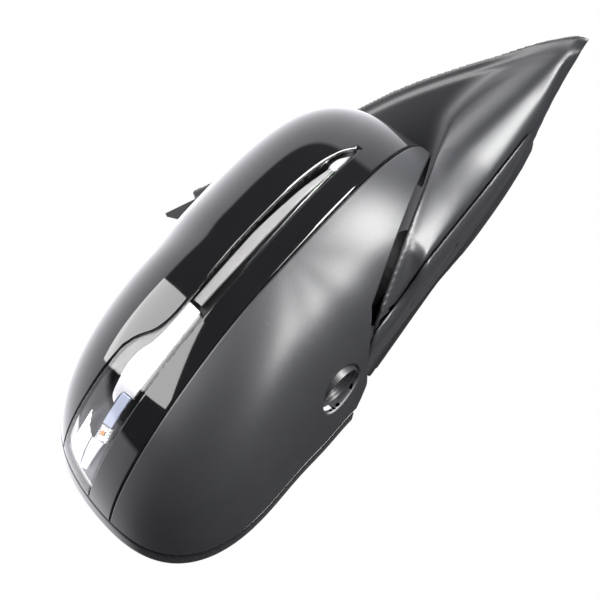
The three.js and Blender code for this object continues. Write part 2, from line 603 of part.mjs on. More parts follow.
// ---------------------------------------------------------------- fold unit
function foldUnitInHead() {
  const { radius, low, high, wall, bore, u, v } = FOLD_HOUSING;
  const can = (inset, from, to) => rod(radius - inset, "z", from, to, [0, 0, 0], 32)
    .add(block([u[0] + inset, u[1] - inset], [v[0] + inset, v[1] - inset], [from, to]));
  const hole = rod(bore, "z", -90, 90);
  const housing = can(0, low, high).subtract(can(wall, low + wall, high + 1)).subtract(hole);
  place(head, "fold_housing", housing, frame_black);
  place(head, "fold_housing_cover", can(0, high + GAP, high + GAP + wall).subtract(hole), frame_black);
  const at = [0, FOLD_WORM.v, FOLD_WORM.w];
  const worm = wormProfile(FOLD_WORM.radius, FOLD_WORM.root, FOLD_WORM.start, FOLD_WORM.end, 7).slice(0, -1);
  const stub = [[1.5, FOLD_WORM.end], [1.5, FOLD_WORM.stub], [0, FOLD_WORM.stub]];
  place(head, "fold_worm", lathe([...worm, ...stub], "x", at, 10), brass);
  place(head, "fold_motor", rod(FOLD_MOTOR.radius, "x", FOLD_MOTOR.start, FOLD_MOTOR.end, at), steel);
}

function springSolid() {
  const { radius, wire, low, high, turns } = SPRING;
  const points = Array.from({ length: turns * 8 + 1 }, (_, k) => {
    const angle = (2 * Math.PI * k) / 8;
    const rise = low + ((high - low) * k) / (turns * 8);
    return [PIVOT_X + radius * Math.cos(angle), radius * Math.sin(angle), rise];
  });
  return cable(points, wire, turns * 10, 3);
}

function foldUnitOnArm() {
  const at = [PIVOT_X, 0, 0];
  const seat = BOSS.high + GAP;
  const { radius, bore, high, flange, flangeThick } = SHAFT;
  const shaft = [
    [bore, seat], [flange, seat], [flange, seat + flangeThick],
    [radius, seat + flangeThick], [radius, high], [bore, high],
  ];
  place(mirror, "pivot_shaft", turned(shaft, "z", at, 28), steel);
  let detent = ring(DETENT.inner, DETENT.outer, "z", seat, seat + DETENT.thick, at, 32);
  for (let k = 0; k < DETENT.bumps; k += 1) {
    const angle = (2 * Math.PI * k) / DETENT.bumps;
    const middle = (DETENT.inner + DETENT.outer) / 2;
    detent = detent.add(rod(2.4, "z", seat + 1, seat + DETENT.thick + DETENT.bump,
      [PIVOT_X + middle * Math.cos(angle), middle * Math.sin(angle), 0], 12));
  }
  place(mirror, "detent_ring", detent, steel);
  const outline = gearOutline(FOLD_GEAR.radius, FOLD_GEAR.root, FOLD_GEAR.teeth);
  const teeth = prism(outline, "z", FOLD_GEAR.low, FOLD_GEAR.high)
    .subtract(rod(radius + GAP, "z", -90, 90, [0, 0, 0], 28));
  place(mirror, "fold_gear", solidOf(geometryOf(teeth).translate(...at)), steel);
  place(mirror, "fold_spring", springSolid(), steel);
  const cup = ring(radius + GAP, SPRING.radius + 4, "z", SPRING.high + 2, SPRING.high + 4.5, at, 28);
  place(mirror, "spring_cup", cup, steel);
  const clip = ring(radius + GAP, radius + 3, "z", SPRING.high + 4.8, SPRING.high + 6, at, 28);
  place(mirror, "retaining_clip", clip, steel);
}

// ---------------------------------------------------------------- arm, sail and door side
const sailCentre = [10, 30];
const sailPlate = (scale, from, to) => {
  const moved = (value, centre) => centre + (value - centre) * scale;
  const outline = SAIL_OUTLINE.map(([y, z]) => [moved(y, sailCentre[0]), moved(z, sailCentre[1])]);
  return prism(outline, "x", from, to);
};
const studHole = ([y, z]) => rod(STUD.radius + GAP, "x", -30, PLATE_X + PLATE_THICK + 5, [0, y, z], 16);
const studHoles = union(...STUDS.map(studHole));
const grommetHole = rod(GROMMET.radius + GAP, "x", -30, PLATE_X + PLATE_THICK, [0, GROMMET.y, GROMMET.z]);

function arm() {
  const hollowForm = armForm(WALL).add(solidOf(geometryOf(armForm(WALL)).translate(-14, 0, 0)));
  const form = armForm(0).intersect(block([SAIL_X, 200], [-200, 200], [-90, 90]));
  const bossHole = rod(BOSS.radius + 0.6, "z", -40, 30, [PIVOT_X, 0, 0], 32);
  const skin = form.subtract(hollowForm);
  const plug = rod(PLUG.radius, "z", -60, -25, [PLUG.x, PLUG.y, 0], 32);
  const plugHole = rod(PLUG.radius + GAP, "z", -60, -25, [PLUG.x, PLUG.y, 0], 32);
  const cover = sailPlate(1, SAIL_X, SAIL_X + SAIL_THICK).add(form).subtract(hollowForm).subtract(bossHole);
  place(mirror, "sail_and_arm_cover", mainBody(cover.subtract(lowerCoverRegion(GAP))), grained_black);
  const lowerCover = skin.intersect(lowerCoverRegion(0)).subtract(plugHole);
  place(mirror, "arm_lower_cover", mainBody(lowerCover), grained_black);
  place(mirror, "access_plug", skin.intersect(lowerCoverRegion(0)).intersect(plug), grained_black);
}

function baseFrame() {
  const plate = sailPlate(0.93, PLATE_X, PLATE_X + PLATE_THICK);
  const beam = armForm(WALL + 3).intersect(block([PLATE_X, 200], [-200, 200], [-90, 90]));
  const boss = rod(BOSS.radius, "z", BOSS.low, BOSS.high, [PIVOT_X, 0, 0], 32);
  const channel = cable(HARNESS_PATH, CHANNEL_RADIUS, HARNESS_STEPS);
  const recessFloor = PLATE_X + PLATE_THICK - STUD.flangeThick - GAP;
  const recessAt = ([y, z]) => rod(STUD.flange + GAP, "x", recessFloor, SAIL_X, [0, y, z], 20);
  const recess = union(...STUDS.map(recessAt));
  const pocket = block([20, 58], [-34, -9], [-60, -8]).add(block([20, 58], [9, 40], [-60, -14]));
  place(mirror, "base_frame", plate.add(beam).add(boss).subtract(channel).subtract(studHoles).subtract(recess)
    .subtract(grommetHole).subtract(pocket), cast_aluminium);
}

function doorSide() {
  const gasket = sailPlate(0.975, 0, GASKET_THICK).add(prism(GASKET_CORNER, "x", 0, GASKET_THICK));
  place(mirror, "door_gasket", gasket.subtract(studHoles).subtract(grommetHole), soft_rubber);
  const end = PLATE_X + PLATE_THICK - GAP;
  STUDS.forEach(([y, z], i) => {
    const under = end - STUD.flangeThick;
    const profile = [[0, STUD.end], [STUD.radius, STUD.end], [STUD.radius, under], [STUD.flange, under],
      [STUD.flange, end], [0, end]];
    place(mirror, `mounting_stud_${i + 1}`, lathe(profile, "x", [0, y, z], 16), steel);
  });
  const { radius, bore, inside, flange, flangeThick } = GROMMET;
  const outside = PLATE_X + PLATE_THICK - GAP;
  const grommet = [
    [bore, inside], [flange, inside], [flange, inside + flangeThick], [radius, inside + flangeThick],
    [radius, outside], [bore, outside],
  ];
  place(mirror, "cable_grommet", turned(grommet, "x", [0, GROMMET.y, GROMMET.z], 20), soft_rubber);
  place(mirror, "wiring_harness", cable(HARNESS_PATH, HARNESS_RADIUS, HARNESS_STEPS), soft_rubber);
  const latch = block([-60, -52], [-53, -43], [30, 34]);
  place(mirror, "door_connector", block([-66, -46], [-57, -39], [17, 31]).add(latch), gear_white);
}

headShells();
headFloor();
turnSignal();
puddleLamp();
mirrorGlass();
cardanRing();
actuator();
jackDrives();
headFrame();
foldUnitInHead();
foldUnitOnArm();
arm();
baseFrame();
doorSide();

export default mirror;
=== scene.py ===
"""The visual model of a right-hand car door mirror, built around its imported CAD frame.

Lengths are in millimetres until a mesh is made. The head has its own frame: u outboard, v forward, w up,
from the fold axis. Its shells lie on one dome, and each is drawn as an outline on that dome's flat pattern.
"""
import json
import math

import bpy
import numpy as np
from mathutils import Matrix, Vector
from mathutils.geometry import delaunay_2d_cdt


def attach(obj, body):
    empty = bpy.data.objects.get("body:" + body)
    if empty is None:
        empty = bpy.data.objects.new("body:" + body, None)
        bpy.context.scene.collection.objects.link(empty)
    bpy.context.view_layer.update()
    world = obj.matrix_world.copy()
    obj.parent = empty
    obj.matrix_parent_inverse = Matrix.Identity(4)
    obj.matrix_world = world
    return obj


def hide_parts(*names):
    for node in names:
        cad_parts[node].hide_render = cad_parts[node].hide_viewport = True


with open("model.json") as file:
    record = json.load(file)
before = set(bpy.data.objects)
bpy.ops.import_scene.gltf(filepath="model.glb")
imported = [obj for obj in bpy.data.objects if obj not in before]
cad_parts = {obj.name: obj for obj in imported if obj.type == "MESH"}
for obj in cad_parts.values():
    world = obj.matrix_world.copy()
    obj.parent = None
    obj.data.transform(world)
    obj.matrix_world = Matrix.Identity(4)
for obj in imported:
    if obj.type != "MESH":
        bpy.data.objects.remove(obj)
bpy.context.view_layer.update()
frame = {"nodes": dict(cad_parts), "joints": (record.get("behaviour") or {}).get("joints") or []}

# ---------------------------------------------------------------- driving dimensions
MM = 0.001
JOINTS = {joint["name"]: joint for joint in frame["joints"]}
PIVOT = np.array(JOINTS["head_fold"]["pos_m"]) / MM
W = np.array(JOINTS["head_fold"]["axis"], float)
U = np.array(JOINTS["glass_tilt"]["axis"], float)
V = np.cross(W, U)

# Head dome over a closed rim outline in u, w.
RIM_V = -48.0
DOME_DEPTH = 108.0
DOME_TAPER = 0.12
DOME_POWER = 2.5
CENTRE = np.array([52.0, 12.0])
RIM_OUTLINE = [
    (181, -10), (173, 34), (141, 63), (75, 77), (0, 82), (-44, 74), (-66, 46),
    (-71, 10), (-66, -26), (-40, -44), (0, -49), (70, -52), (135, -55), (170, -44),
]
RIM_WAVES = 11
BEZEL_DEPTH = 12.0
BEZEL_WIDTH = 4.5
BEZEL_STEPS = 300
# The bezel's section as (inset from the dome, fall behind the seam).
BEZEL_PROFILE = [
    (1.6, 0), (0.6, 0.1), (0.15, 0.5), (0, 1.1), (0, 3), (0, 5), (0, 7), (0, 9), (0.1, 10.4),
    (0.6, 11.8), (1.4, 12.5), (2.4, 12.7), (3.4, 12.5), (4.2, 11.8), (BEZEL_WIDTH, 10.6),
    (BEZEL_WIDTH, 6), (BEZEL_WIDTH, 0),
]
GAP = 0.3
WALL = 2.6
ARM_WALL = 3.4
EDGE_ROLL = 1.1

# Mesh grid: how clear of the edge a row and the grid must stay, and the height of a triangle in the grid.
ROW_CLEAR = 0.93
GRID_CLEAR = 0.45
ROW_HEIGHT = 0.866

SPLIT_LINE = [(-110, 17), (-49, 12.3), (28, 7.5), (94, 3.5), (176, -5), (210, -8)]
LENS_UPPER = [(-17, 24.8), (-6, 29), (20, 31.2), (60, 30.6), (99, 27.4), (116, 28.6), (128, 36.2),
              (142, 38.3), (210, 38)]
LENS_LOWER = [(210, 9), (100, 16), (30, 20.6), (-8, 23), (-17, 24.8)]

# Lines in u, w: the arm's top face, the gap above it, and the head's underside behind the fold axis.
ARM_TOP = (-23.0, -0.44)
HEAD_GAP = 3.3
FOLD_LINE = (0.5, -0.28)
GLASS_CORNER = [(-110, 38.3), (56, -8.2), (112, -50), (200, -116)]
TURRET_RADIUS = 43.0
TURRET_GAP = 0.9
ARM_FRONT = [(36.3, 28.3), (28.4, 43.7), (20, 95)]
ARM_REAR = [(-260, -224), (23.4, -36.1)]
NOTCH_EDGE = [(43.9, -14), (50, -36), (53, -60)]

# Sail and arm, in the door's frame.
SAIL_X = 5.6
SAIL_THICK = 3.0
SAIL_TIP = (128, -14)
SAIL_UPPER = [(128, -14), (117, -3), (104, 9), (74, 31), (44, 51), (15, 67), (-50, 99), (-105, 128)]
SAIL_BACK = [(-112, 120), (-118, 110), (-118, -21)]
SAIL_LOWER = [(41, -22), (62, -18), (90, -14.5)]
FLANGE_WIDTH = 4.6
FLANGE_DROP = 1.3
UNDERSIDE_Z = -44.6
UNDERSIDE_RISE = 0.165
UNDERSIDE_X = 138.0
BOW = (-27.0, 0.168, -0.316)
LOWER_COVER_HEIGHT = 5.0
LOWER_COVER_X = 16.0
PLUG = (85.0, 10.0, 19.5)
BOSS_HOLE = 25.6
SPLIT_ROUND = 2.4
# [x, rear y, front y, lowest z, highest z, roundness]
ARM_SECTIONS = [
    (-4, -49, 126, -24, 20, 2.0), (9, -49, 120, -26, 20, 2.0), (34, -48, 97, -31, 17, 2.2),
    (66, -47, 72, -37, 10, 2.5), (103, -46, 54, -41, -4, 2.7), (125, -34, 40, -43, -24, 2.7),
]
SECTION_DROP = 0.42
SECTION_DROP_END = 70.0
CELL = 1.3

GLASS_MARGIN = 9.0
GLASS_BACK = -39.5
GLASS_THICK = 2.0
# Inside the lens, in u, w from the tip outwards.
TIP_OUTLINE = [(-13, 25.4), (-5, 28.4), (2, 28.0), (2, 24.2), (-6, 24.2), (-13, 25.4)]
GUIDE_UPPER = [(2, 26.6), (9, 27.2), (26, 28.6), (52, 28.9), (95, 26.8)]
GUIDE_LOWER = [(95, 21.8), (53, 23.0), (26, 24.4), (8, 24.2), (2, 25.4)]
REFLECTOR_UPPER = [(96.5, 28.2), (109, 27.8), (120, 28.4), (126, 31.0), (133, 31.9), (140, 30.9), (147, 28.8),
                   (150, 25.2)]
REFLECTOR_END = [(150, 25.2), (144.6, 25.0), (144.4, 17.8)]
REFLECTOR_LOWER = [(144.4, 17.8), (119, 18.4), (97.5, 20.0)]
WINDOW_OUTLINE = [(144.9, 18.2), (158.6, 17.4), (158.6, 23.6), (144.9, 24.0)]
LAMP_OUTLINE = [(159.2, 16.6), (164.2, 15.4), (164.6, 23.4), (159.2, 23.4)]
AMBER_OUTLINE = [(161, 19), (162.6, 19), (162.6, 21.4), (161, 21.4)]
END_RIBS_OUTLINE = [(165.0, 16.9), (168.8, 17.8), (173.2, 19.5), (172.4, 25.0), (171.3, 24.3), (165.0, 24.4)]
END_OUTLINE = [(157.0, 32.9), (161.8, 33.4), (167.9, 35.3), (171.0, 29.1), (172.2, 25.6), (165.1, 25.0),
               (162.6, 29.0)]
POCKET_SHALLOW = 5.0
POCKET_DEEP = 9.6
POCKET_ENDS = (-6.0, 16.0)
PUDDLE = (63.5, 6.0)
PUDDLE_OPENING = 13.3
# Turned sections as (radius, w).
PUDDLE_CUP = [
    (12.9, -36), (12.9, -44.6), (12.6, -45.3), (12.0, -45.5), (11.5, -45.2), (11.3, -44.0), (10.2, -43.8),
    (9.9, -42.4), (8.9, -42.2), (8.6, -40.8), (7.6, -40.6), (7.4, -39.4), (0.01, -39.2), (0.01, -36),
]
PUDDLE_LENS = [(0.01, -39.6), (6.6, -39.6), (7.1, -40.0), (6.9, -40.6), (3.5, -41.1), (0.01, -41.3)]

# The camera, in degrees and millimetres.
CAMERA_AZ = math.radians(125)
CAMERA_EL = math.radians(-13)
CAMERA_ROLL = math.radians(48)
CAMERA_TARGET = np.array([111.3, -38.06, 8.8])
CAMERA_DISTANCE = 1200.0
CAMERA_LENS = 140.4
CAMERA_SENSOR = 36.0

# The studio, in metres. A panel is its name, middle, direction of shine, long side, size and radiance.
FLOOR_Z = -0.30
FLOOR_HALF = 3.0
PANELS = [
    ("panel_left", (0.811, 0.092, 0.852), (-0.692, -0.255, -0.675), (-0.544, -0.430, 0.721), (1.41, 0.70),
     9.5),
    ("panel_right", (0.20, 1.12, -0.40), (-0.07, -0.93, 0.35), (0.1, 0.35, 0.93), (1.5, 0.55), 34.0),
]
# The bright backdrop ends on a plane across this axis, and fades out towards the ground.
# Its stops run from behind the object, at 0, to the camera's side, at 1.
BACKDROP_AXIS = (0.670, 0.675, 0.310)
BACKDROP_LIGHT = 2.3
GROUND_LIGHT = 0.115
GROUND_FADE = 0.45
BACKDROP_STOPS = [(0.0, 1.0), (0.69, 0.85), (0.72, 0.05), (1.0, 0.02)]


# ---------------------------------------------------------------- curves
def closed_curve(points, divisions=40):
    """A centripetal Catmull-Rom curve through a closed row of points."""
    points = np.array(points, float)
    count = len(points)
    curve = []
    for i in range(count):
        p = [points[(i + k) % count] for k in (-1, 0, 1, 2)]
        t = [0.0]
        for k in range(3):
            t.append(t[-1] + math.sqrt(np.linalg.norm(p[k + 1] - p[k])))
        for x in np.linspace(t[1], t[2], divisions, endpoint=False):
            a = [((t[k + 1] - x) * p[k] + (x - t[k]) * p[k + 1]) / (t[k + 1] - t[k]) for k in range(3)]
            b = [((t[k + 2] - x) * a[k] + (x - t[k]) * a[k + 1]) / (t[k + 2] - t[k]) for k in range(2)]
            curve.append(((t[2] - x) * b[0] + (x - t[1]) * b[1]) / (t[2] - t[1]))
    return np.array(curve)


def open_curve(points, divisions=30):
    """A Catmull-Rom curve through an open row of points."""
    points = np.array(points, float)
    last = len(points) - 1
    curve = []
    for i in range(last):
        p0, p1, p2, p3 = points[max(i - 1, 0)], points[i], points[i + 1], points[min(i + 2, last)]
        for t in np.linspace(0, 1, divisions, endpoint=False):
            curve.append(0.5 * (2 * p1 + (p2 - p0) * t + (2 * p0 - 5 * p1 + 4 * p2 - p3) * t ** 2
                                + (3 * p1 - p0 - 3 * p2 + p3) * t ** 3))
    return np.array(curve + [points[-1]])


def rim_series():
    """The rim's radius about the centre as a short Fourier series, so that the dome has no flat spots."""
    offset = closed_curve(RIM_OUTLINE) - CENTRE
    angle = np.arctan2(offset[:, 1], offset[:, 0])
    order = np.argsort(angle)
    even = np.linspace(-math.pi, math.pi, 1024, endpoint=False)
    radius = np.interp(even, angle[order], np.hypot(*offset.T)[order], period=2 * math.pi)
    terms = np.fft.rfft(radius) / len(radius)
    shift = np.exp(1j * math.pi * np.arange(RIM_WAVES))
    terms = terms[:RIM_WAVES] * shift
    terms[1:] *= 2
    return terms


RIM_TERMS = rim_series()


def rim_radius(angle):
    total = np.zeros(np.shape(angle))
    for k, term in enumerate(RIM_TERMS):
        total = total + (term * np.exp(1j * k * angle)).real
    return total


# ---------------------------------------------------------------- the head's dome
def about_centre(angle, radius):
    return CENTRE + radius[:, None] * np.stack([np.cos(angle), np.sin(angle)], axis=1)


def dome_point(flat):
    """Where a point of the flat pattern lies on the dome, as u, v, w."""
    offset = flat - CENTRE
    angle = np.arctan2(offset[:, 1], offset[:, 0])
    rim = rim_radius(angle)
    slope = np.clip(np.hypot(*offset.T) / rim, 0, math.pi / 2)
    s, c = np.sin(slope), np.maximum(np.cos(slope), 1e-9)
    q = (s ** DOME_POWER + c ** DOME_POWER) ** (-1 / DOME_POWER)
    u = CENTRE[0] + rim * q * s * np.cos(angle)
    w = CENTRE[1] + rim * q * s * np.sin(angle)
    v = RIM_V + q * c * (DOME_DEPTH - DOME_TAPER * (u - CENTRE[0]))
    return np.stack([u, v, w], axis=1)


def dome_frame(flat):
    """Points on the dome with their outward normals and the two directions of the flat pattern."""
    step = 0.05
    along = (dome_point(flat + (step, 0)) - dome_point(flat - (step, 0))) / (2 * step)
    across = (dome_point(flat + (0, step)) - dome_point(flat - (0, step))) / (2 * step)
    normal = np.cross(across, along)
    normal /= np.linalg.norm(normal, axis=1, keepdims=True)
    return dome_point(flat), normal, along, across


def flat_of(points, depth=0.0):
    """Flat pattern places of u, w points seen along v on the dome, or on its inside at a depth."""
    offset = np.array(points, float).reshape(-1, 2) - CENTRE
    angle = np.arctan2(offset[:, 1], offset[:, 0])
    share = np.hypot(*offset.T) / (rim_radius(angle) - depth)
    inside = np.minimum(share, 0.99999)
    slope = np.arctan2(inside, (1 - inside ** DOME_POWER) ** (1 / DOME_POWER))
    slope = np.where(share < 1, slope, math.pi / 2 * share)
    radius = slope * rim_radius(angle)
    return about_centre(angle, radius)


def dome_v(points):
    """Height v of the dome over u, w points, or the rim's v outside it."""
    points = np.array(points, float).reshape(-1, 2)
    offset = points - CENTRE
    share = np.hypot(*offset.T) / rim_radius(np.arctan2(offset[:, 1], offset[:, 0]))
    height = np.maximum(1 - share ** DOME_POWER, 0) ** (1 / DOME_POWER)
    return RIM_V + height * (DOME_DEPTH - DOME_TAPER * (points[:, 0] - CENTRE[0]))


def underside_w(u, v):
    """The dome's lower w at plan places u, v."""
    high, low = np.full(np.shape(u), CENTRE[1]), np.full(np.shape(u), -90.0)
    for _ in range(40):
        middle = (high + low) / 2
        above = dome_v(np.stack([u, middle], axis=1)) > v
        high = np.where(above, middle, high)
        low = np.where(above, low, middle)
    return (high + low) / 2


def seam_radius(angle):
    """Flat pattern radius of the seam between the front shells and the rear bezel."""
    angle = np.atleast_1d(angle)
    rim = rim_radius(angle)
    ray = np.stack([np.cos(angle), np.sin(angle)], axis=1)
    near, far = np.zeros(len(angle)), rim * math.pi / 2
    for _ in range(40):
        middle = (near + far) / 2
        front = dome_point(CENTRE + ray * middle[:, None])[:, 1] > RIM_V + BEZEL_DEPTH + GAP
        near = np.where(front, middle, near)
        far = np.where(front, far, middle)
    return (near + far) / 2


def seam_arc(start, end, steps):
    """The seam from one bearing to another, as a row of flat pattern points."""
    angle = np.linspace(start, end, steps)
    return about_centre(angle, seam_radius(angle))


def bearing(point):
    return math.atan2(point[1] - CENTRE[1], point[0] - CENTRE[0])


def within_seam(flat):
    """The part of a row of flat pattern points that lies inside the seam, ended exactly on it."""
    offset = flat - CENTRE
    room = seam_radius(np.arctan2(offset[:, 1], offset[:, 0])) - np.hypot(*offset.T)
    keep = np.nonzero(room > 0)[0]
    first, last = keep[0], keep[-1]
    row = list(flat[first:last + 1])
    if first > 0:
        share = room[first] / (room[first] - room[first - 1])
        row.insert(0, flat[first] + share * (flat[first - 1] - flat[first]))
    if last + 1 < len(flat):
        share = room[last] / (room[last] - room[last + 1])
        row.append(flat[last] + share * (flat[last + 1] - flat[last]))
    return np.array(row)


# ---------------------------------------------------------------- meshes
def to_world(points):
    """u, v, w millimetres of the head's frame to the door's frame in millimetres."""
    return PIVOT + points[:, :1] * U + points[:, 1:2] * V + points[:, 2:3] * W


def new_piece(name, vertices, faces, body, material, normals=None, sharp=30):
    """A mesh object from door-frame millimetres, riding on a body; normals are one per face corner."""
    mesh = bpy.data.meshes.new(name)
    places = [tuple(p) for p in np.asarray(vertices) * MM]
    mesh.from_pydata(places, [], [tuple(int(i) for i in f) for f in faces])
    mesh.shade_smooth()
    if normals is None:
        mesh.set_sharp_from_angle(angle=math.radians(sharp))
    else:
        mesh.normals_split_custom_set([tuple(n) for n in normals])
    mesh.materials.append(material)
    piece = bpy.data.objects.new(name, mesh)
    bpy.context.scene.collection.objects.link(piece)
    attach(piece, body)
    return piece


def resample(loop, step):
    """A closed loop with even steps, keeping its sharp corners."""
    loop = np.array(loop, float)
    loop = loop[np.linalg.norm(loop - np.roll(loop, 1, axis=0), axis=1) > 1e-4]
    before = loop - np.roll(loop, 1, axis=0)
    after = np.roll(loop, -1, axis=0) - loop
    turn = np.abs((np.arctan2(after[:, 1], after[:, 0]) - np.arctan2(before[:, 1], before[:, 0]) + math.pi)
                  % (2 * math.pi) - math.pi)
    corners = list(np.nonzero(turn > math.radians(25))[0]) or [0]
    row = []
    for i, corner in enumerate(corners):
        end = corners[(i + 1) % len(corners)]
        count = (end - corner) % len(loop) or len(loop)
        part = loop[(corner + np.arange(count + 1)) % len(loop)]
        length = np.concatenate([[0], np.cumsum(np.linalg.norm(np.diff(part, axis=0), axis=1))])
        pieces = max(2, int(round(length[-1] / step)))
        even = np.linspace(0, length[-1], pieces, endpoint=False)
        row.append(np.stack([np.interp(even, length, part[:, k]) for k in (0, 1)], axis=1))
    return np.concatenate(row)


def resample_open(row, step):
    """An open row of points with even steps."""
    length = np.concatenate([[0], np.cumsum(np.linalg.norm(np.diff(row, axis=0), axis=1))])
    even = np.linspace(0, length[-1], max(2, int(length[-1] / step)))
    return np.stack([np.interp(even, length, row[:, k]) for k in range(row.shape[1])], axis=1)


def loop_area(loop):
    after = np.roll(loop, -1, axis=0)
    return 0.5 * np.sum(loop[:, 0] * after[:, 1] - after[:, 0] * loop[:, 1])


def inset_loop(loop, distance):
    """The loop moved towards its inside; a hole is given the other way round, so it grows."""
    after = np.roll(loop, -1, axis=0) - loop
    before = loop - np.roll(loop, 1, axis=0)
    normals = []
    for edge in (before, after):
        edge = edge / np.maximum(np.linalg.norm(edge, axis=1, keepdims=True), 1e-9)
        normals.append(np.stack([-edge[:, 1], edge[:, 0]], axis=1))
    middle = normals[0] + normals[1]
    size = np.maximum(np.sum(middle ** 2, axis=1, keepdims=True) / 2, 0.25)
    return loop + middle / size * distance


def in_loops(points, loops):
    """Which points lie inside the outer loop and outside the holes."""
    inside = np.zeros(len(points), bool)
    for loop in loops:
        start, end = loop, np.roll(loop, -1, axis=0)
        for (x0, y0), (x1, y1) in zip(start, end):
            if y0 == y1:
                continue
            crosses = (points[:, 1] > min(y0, y1)) & (points[:, 1] <= max(y0, y1))
            side = x0 + (points[:, 1] - y0) * (x1 - x0) / (y1 - y0) > points[:, 0]
            inside ^= crosses & side
    return inside


def nearest_edge(points, loops):
    """Distance from each point to the loops, and the direction to the nearest place on them."""
    start = np.concatenate(loops)
    end = np.concatenate([np.roll(loop, -1, axis=0) for loop in loops])
    span = end - start
    length = np.maximum(np.sum(span ** 2, axis=1), 1e-12)
    distance = np.empty(len(points))
    direction = np.empty((len(points), 2))
    for i in range(0, len(points), 2000):
        part = points[i:i + 2000, None, :]
        share = np.clip(np.sum((part - start) * span, axis=2) / length, 0, 1)
        away = start + share[..., None] * span - part
        size = np.linalg.norm(away, axis=2)
        best = size.argmin(axis=1)
        row = np.arange(len(best))
        distance[i:i + 2000] = size[row, best]
        direction[i:i + 2000] = away[row, best] / np.maximum(size[row, best], 1e-9)[:, None]
    return distance, direction


def triangulate(loops, rows, spacing):
    """Triangles over the loops, with rows of vertices at set distances inside the edge."""
    points = list(loops)
    for row in rows:
        for loop in loops:
            inner = inset_loop(loop, row)
            gap, _ = nearest_edge(inner, loops)
            points.append(inner[in_loops(inner, loops) & (gap > row * ROW_CLEAR)])
    low, high = loops[0].min(axis=0), loops[0].max(axis=0)
    xs = np.arange(low[0], high[0], spacing)
    ys = np.arange(low[1], high[1], spacing * ROW_HEIGHT)
    grid = np.array([(x + (j % 2) * spacing / 2, y) for j, y in enumerate(ys) for x in xs])
    grid = grid[in_loops(grid, loops)]
    gap, _ = nearest_edge(grid, loops)
    points.append(grid[gap > rows[-1] + spacing * GRID_CLEAR])
    edges, first = [], 0
    for loop in loops:
        edges += [(first + i, first + (i + 1) % len(loop)) for i in range(len(loop))]
        first += len(loop)
    flat = [Vector(p) for p in np.concatenate(points)]
    found = delaunay_2d_cdt(flat, edges, [], 0, 1e-5)
    vertices = np.array([tuple(v) for v in found[0]])
    faces = np.array([tuple(f) for f in found[2]])
    middle = vertices[faces].mean(axis=1)
    faces = faces[in_loops(middle, loops)]
    a, b, c = (vertices[faces[:, k]] for k in range(3))
    area = (b[:, 0] - a[:, 0]) * (c[:, 1] - a[:, 1]) - (b[:, 1] - a[:, 1]) * (c[:, 0] - a[:, 0])
    faces = np.where((area < 0)[:, None], faces[:, ::-1], faces)
    return vertices, faces[np.abs(area) > 1e-7]


def shell(name, loops, thickness, body, material, slot, roll=EDGE_ROLL, spacing=2.6, depth=0.0, inset=GAP / 2,
          relief=None):
    """A moulded shell on the dome: outline loops on the flat pattern, rolled edges, a wall and an inside.

    The depth below the dome is a number, or a function of places; relief lifts the outside by a function.
    """
    sized = []
    for k, loop in enumerate(loops):
        loop = resample(loop, min(1.5, spacing))
        if (loop_area(loop) > 0) != (k == 0):
            loop = loop[::-1]
        sized.append(inset_loop(loop, inset))
    rows = [roll * share for share in (0.1, 0.3, 0.6, 1.0)]
    flat, triangles = triangulate(sized, rows, spacing)
    gap, outward = nearest_edge(flat, sized)
    place, normal, along, across = dome_frame(flat)
    if callable(depth):
        depth = depth(place)
    lean = np.clip(1 - gap / roll, 0, 1)
    upright = np.sqrt(1 - lean ** 2)
    sideways = outward[:, :1] * along + outward[:, 1:] * across
    sideways /= np.maximum(np.linalg.norm(sideways, axis=1, keepdims=True), 1e-9)
    fall = depth + roll * (1 - upright)
    if relief is not None:
        fall = fall - relief(flat)
    outside = place - normal * fall[:, None]
    inside = place - normal * np.reshape(depth + max(thickness, roll + 0.2), (-1, 1))
    face_normal = normal * upright[:, None] + sideways * lean[:, None]
    count = len(flat)
    edges = {}
    for a, b, c in triangles:
        edges.update({(a, b): None, (b, c): None, (c, a): None})
    border = [(a, b) for a, b in edges if (b, a) not in edges]
    vertices = to_world(np.concatenate([outside, inside]))
    faces = [tuple(t[::-1]) for t in triangles]
    faces += [tuple(t + count) for t in triangles]
    faces += [(a, b, b + count, a + count) for a, b in border]
    if relief is not None:
        return new_piece(name, vertices, faces, body, material)
    turn = np.stack([U, V, W])
    outer, inner = face_normal @ turn, -normal @ turn
    corners = [outer[i] for t in triangles for i in t[::-1]]
    corners += [inner[i] for t in triangles for i in t]
    side = sideways @ turn
    corners += [side[i] for a, b in border for i in (a, b, b, a)]
    return new_piece(name, vertices, faces, body, material, corners)


def loft(rings):
    """Vertices and faces of closed rings of points joined in a row, with a cap on each end."""
    rings = [np.asarray(ring) for ring in rings]
    size = len(rings[0])
    faces = []
    for k in range(len(rings) - 1):
        for i in range(size):
            j = (i + 1) % size
            faces.append((k * size + i, k * size + j, (k + 1) * size + j, (k + 1) * size + i))
    faces.append(tuple(range(size))[::-1])
    faces.append(tuple((len(rings) - 1) * size + i for i in range(size)))
    return np.concatenate(rings), faces


def lathe_up(profile, u, v, sides=64):
    """A turned piece about a vertical axis at u, v from (radius, w) points."""
    angles = np.linspace(0, 2 * math.pi, sides, endpoint=False)
    rings = [np.stack([u + r * np.cos(angles), v + r * np.sin(angles), np.full(sides, w)], axis=1)
             for r, w in profile]
    vertices, faces = loft(rings)
    return to_world(vertices), faces


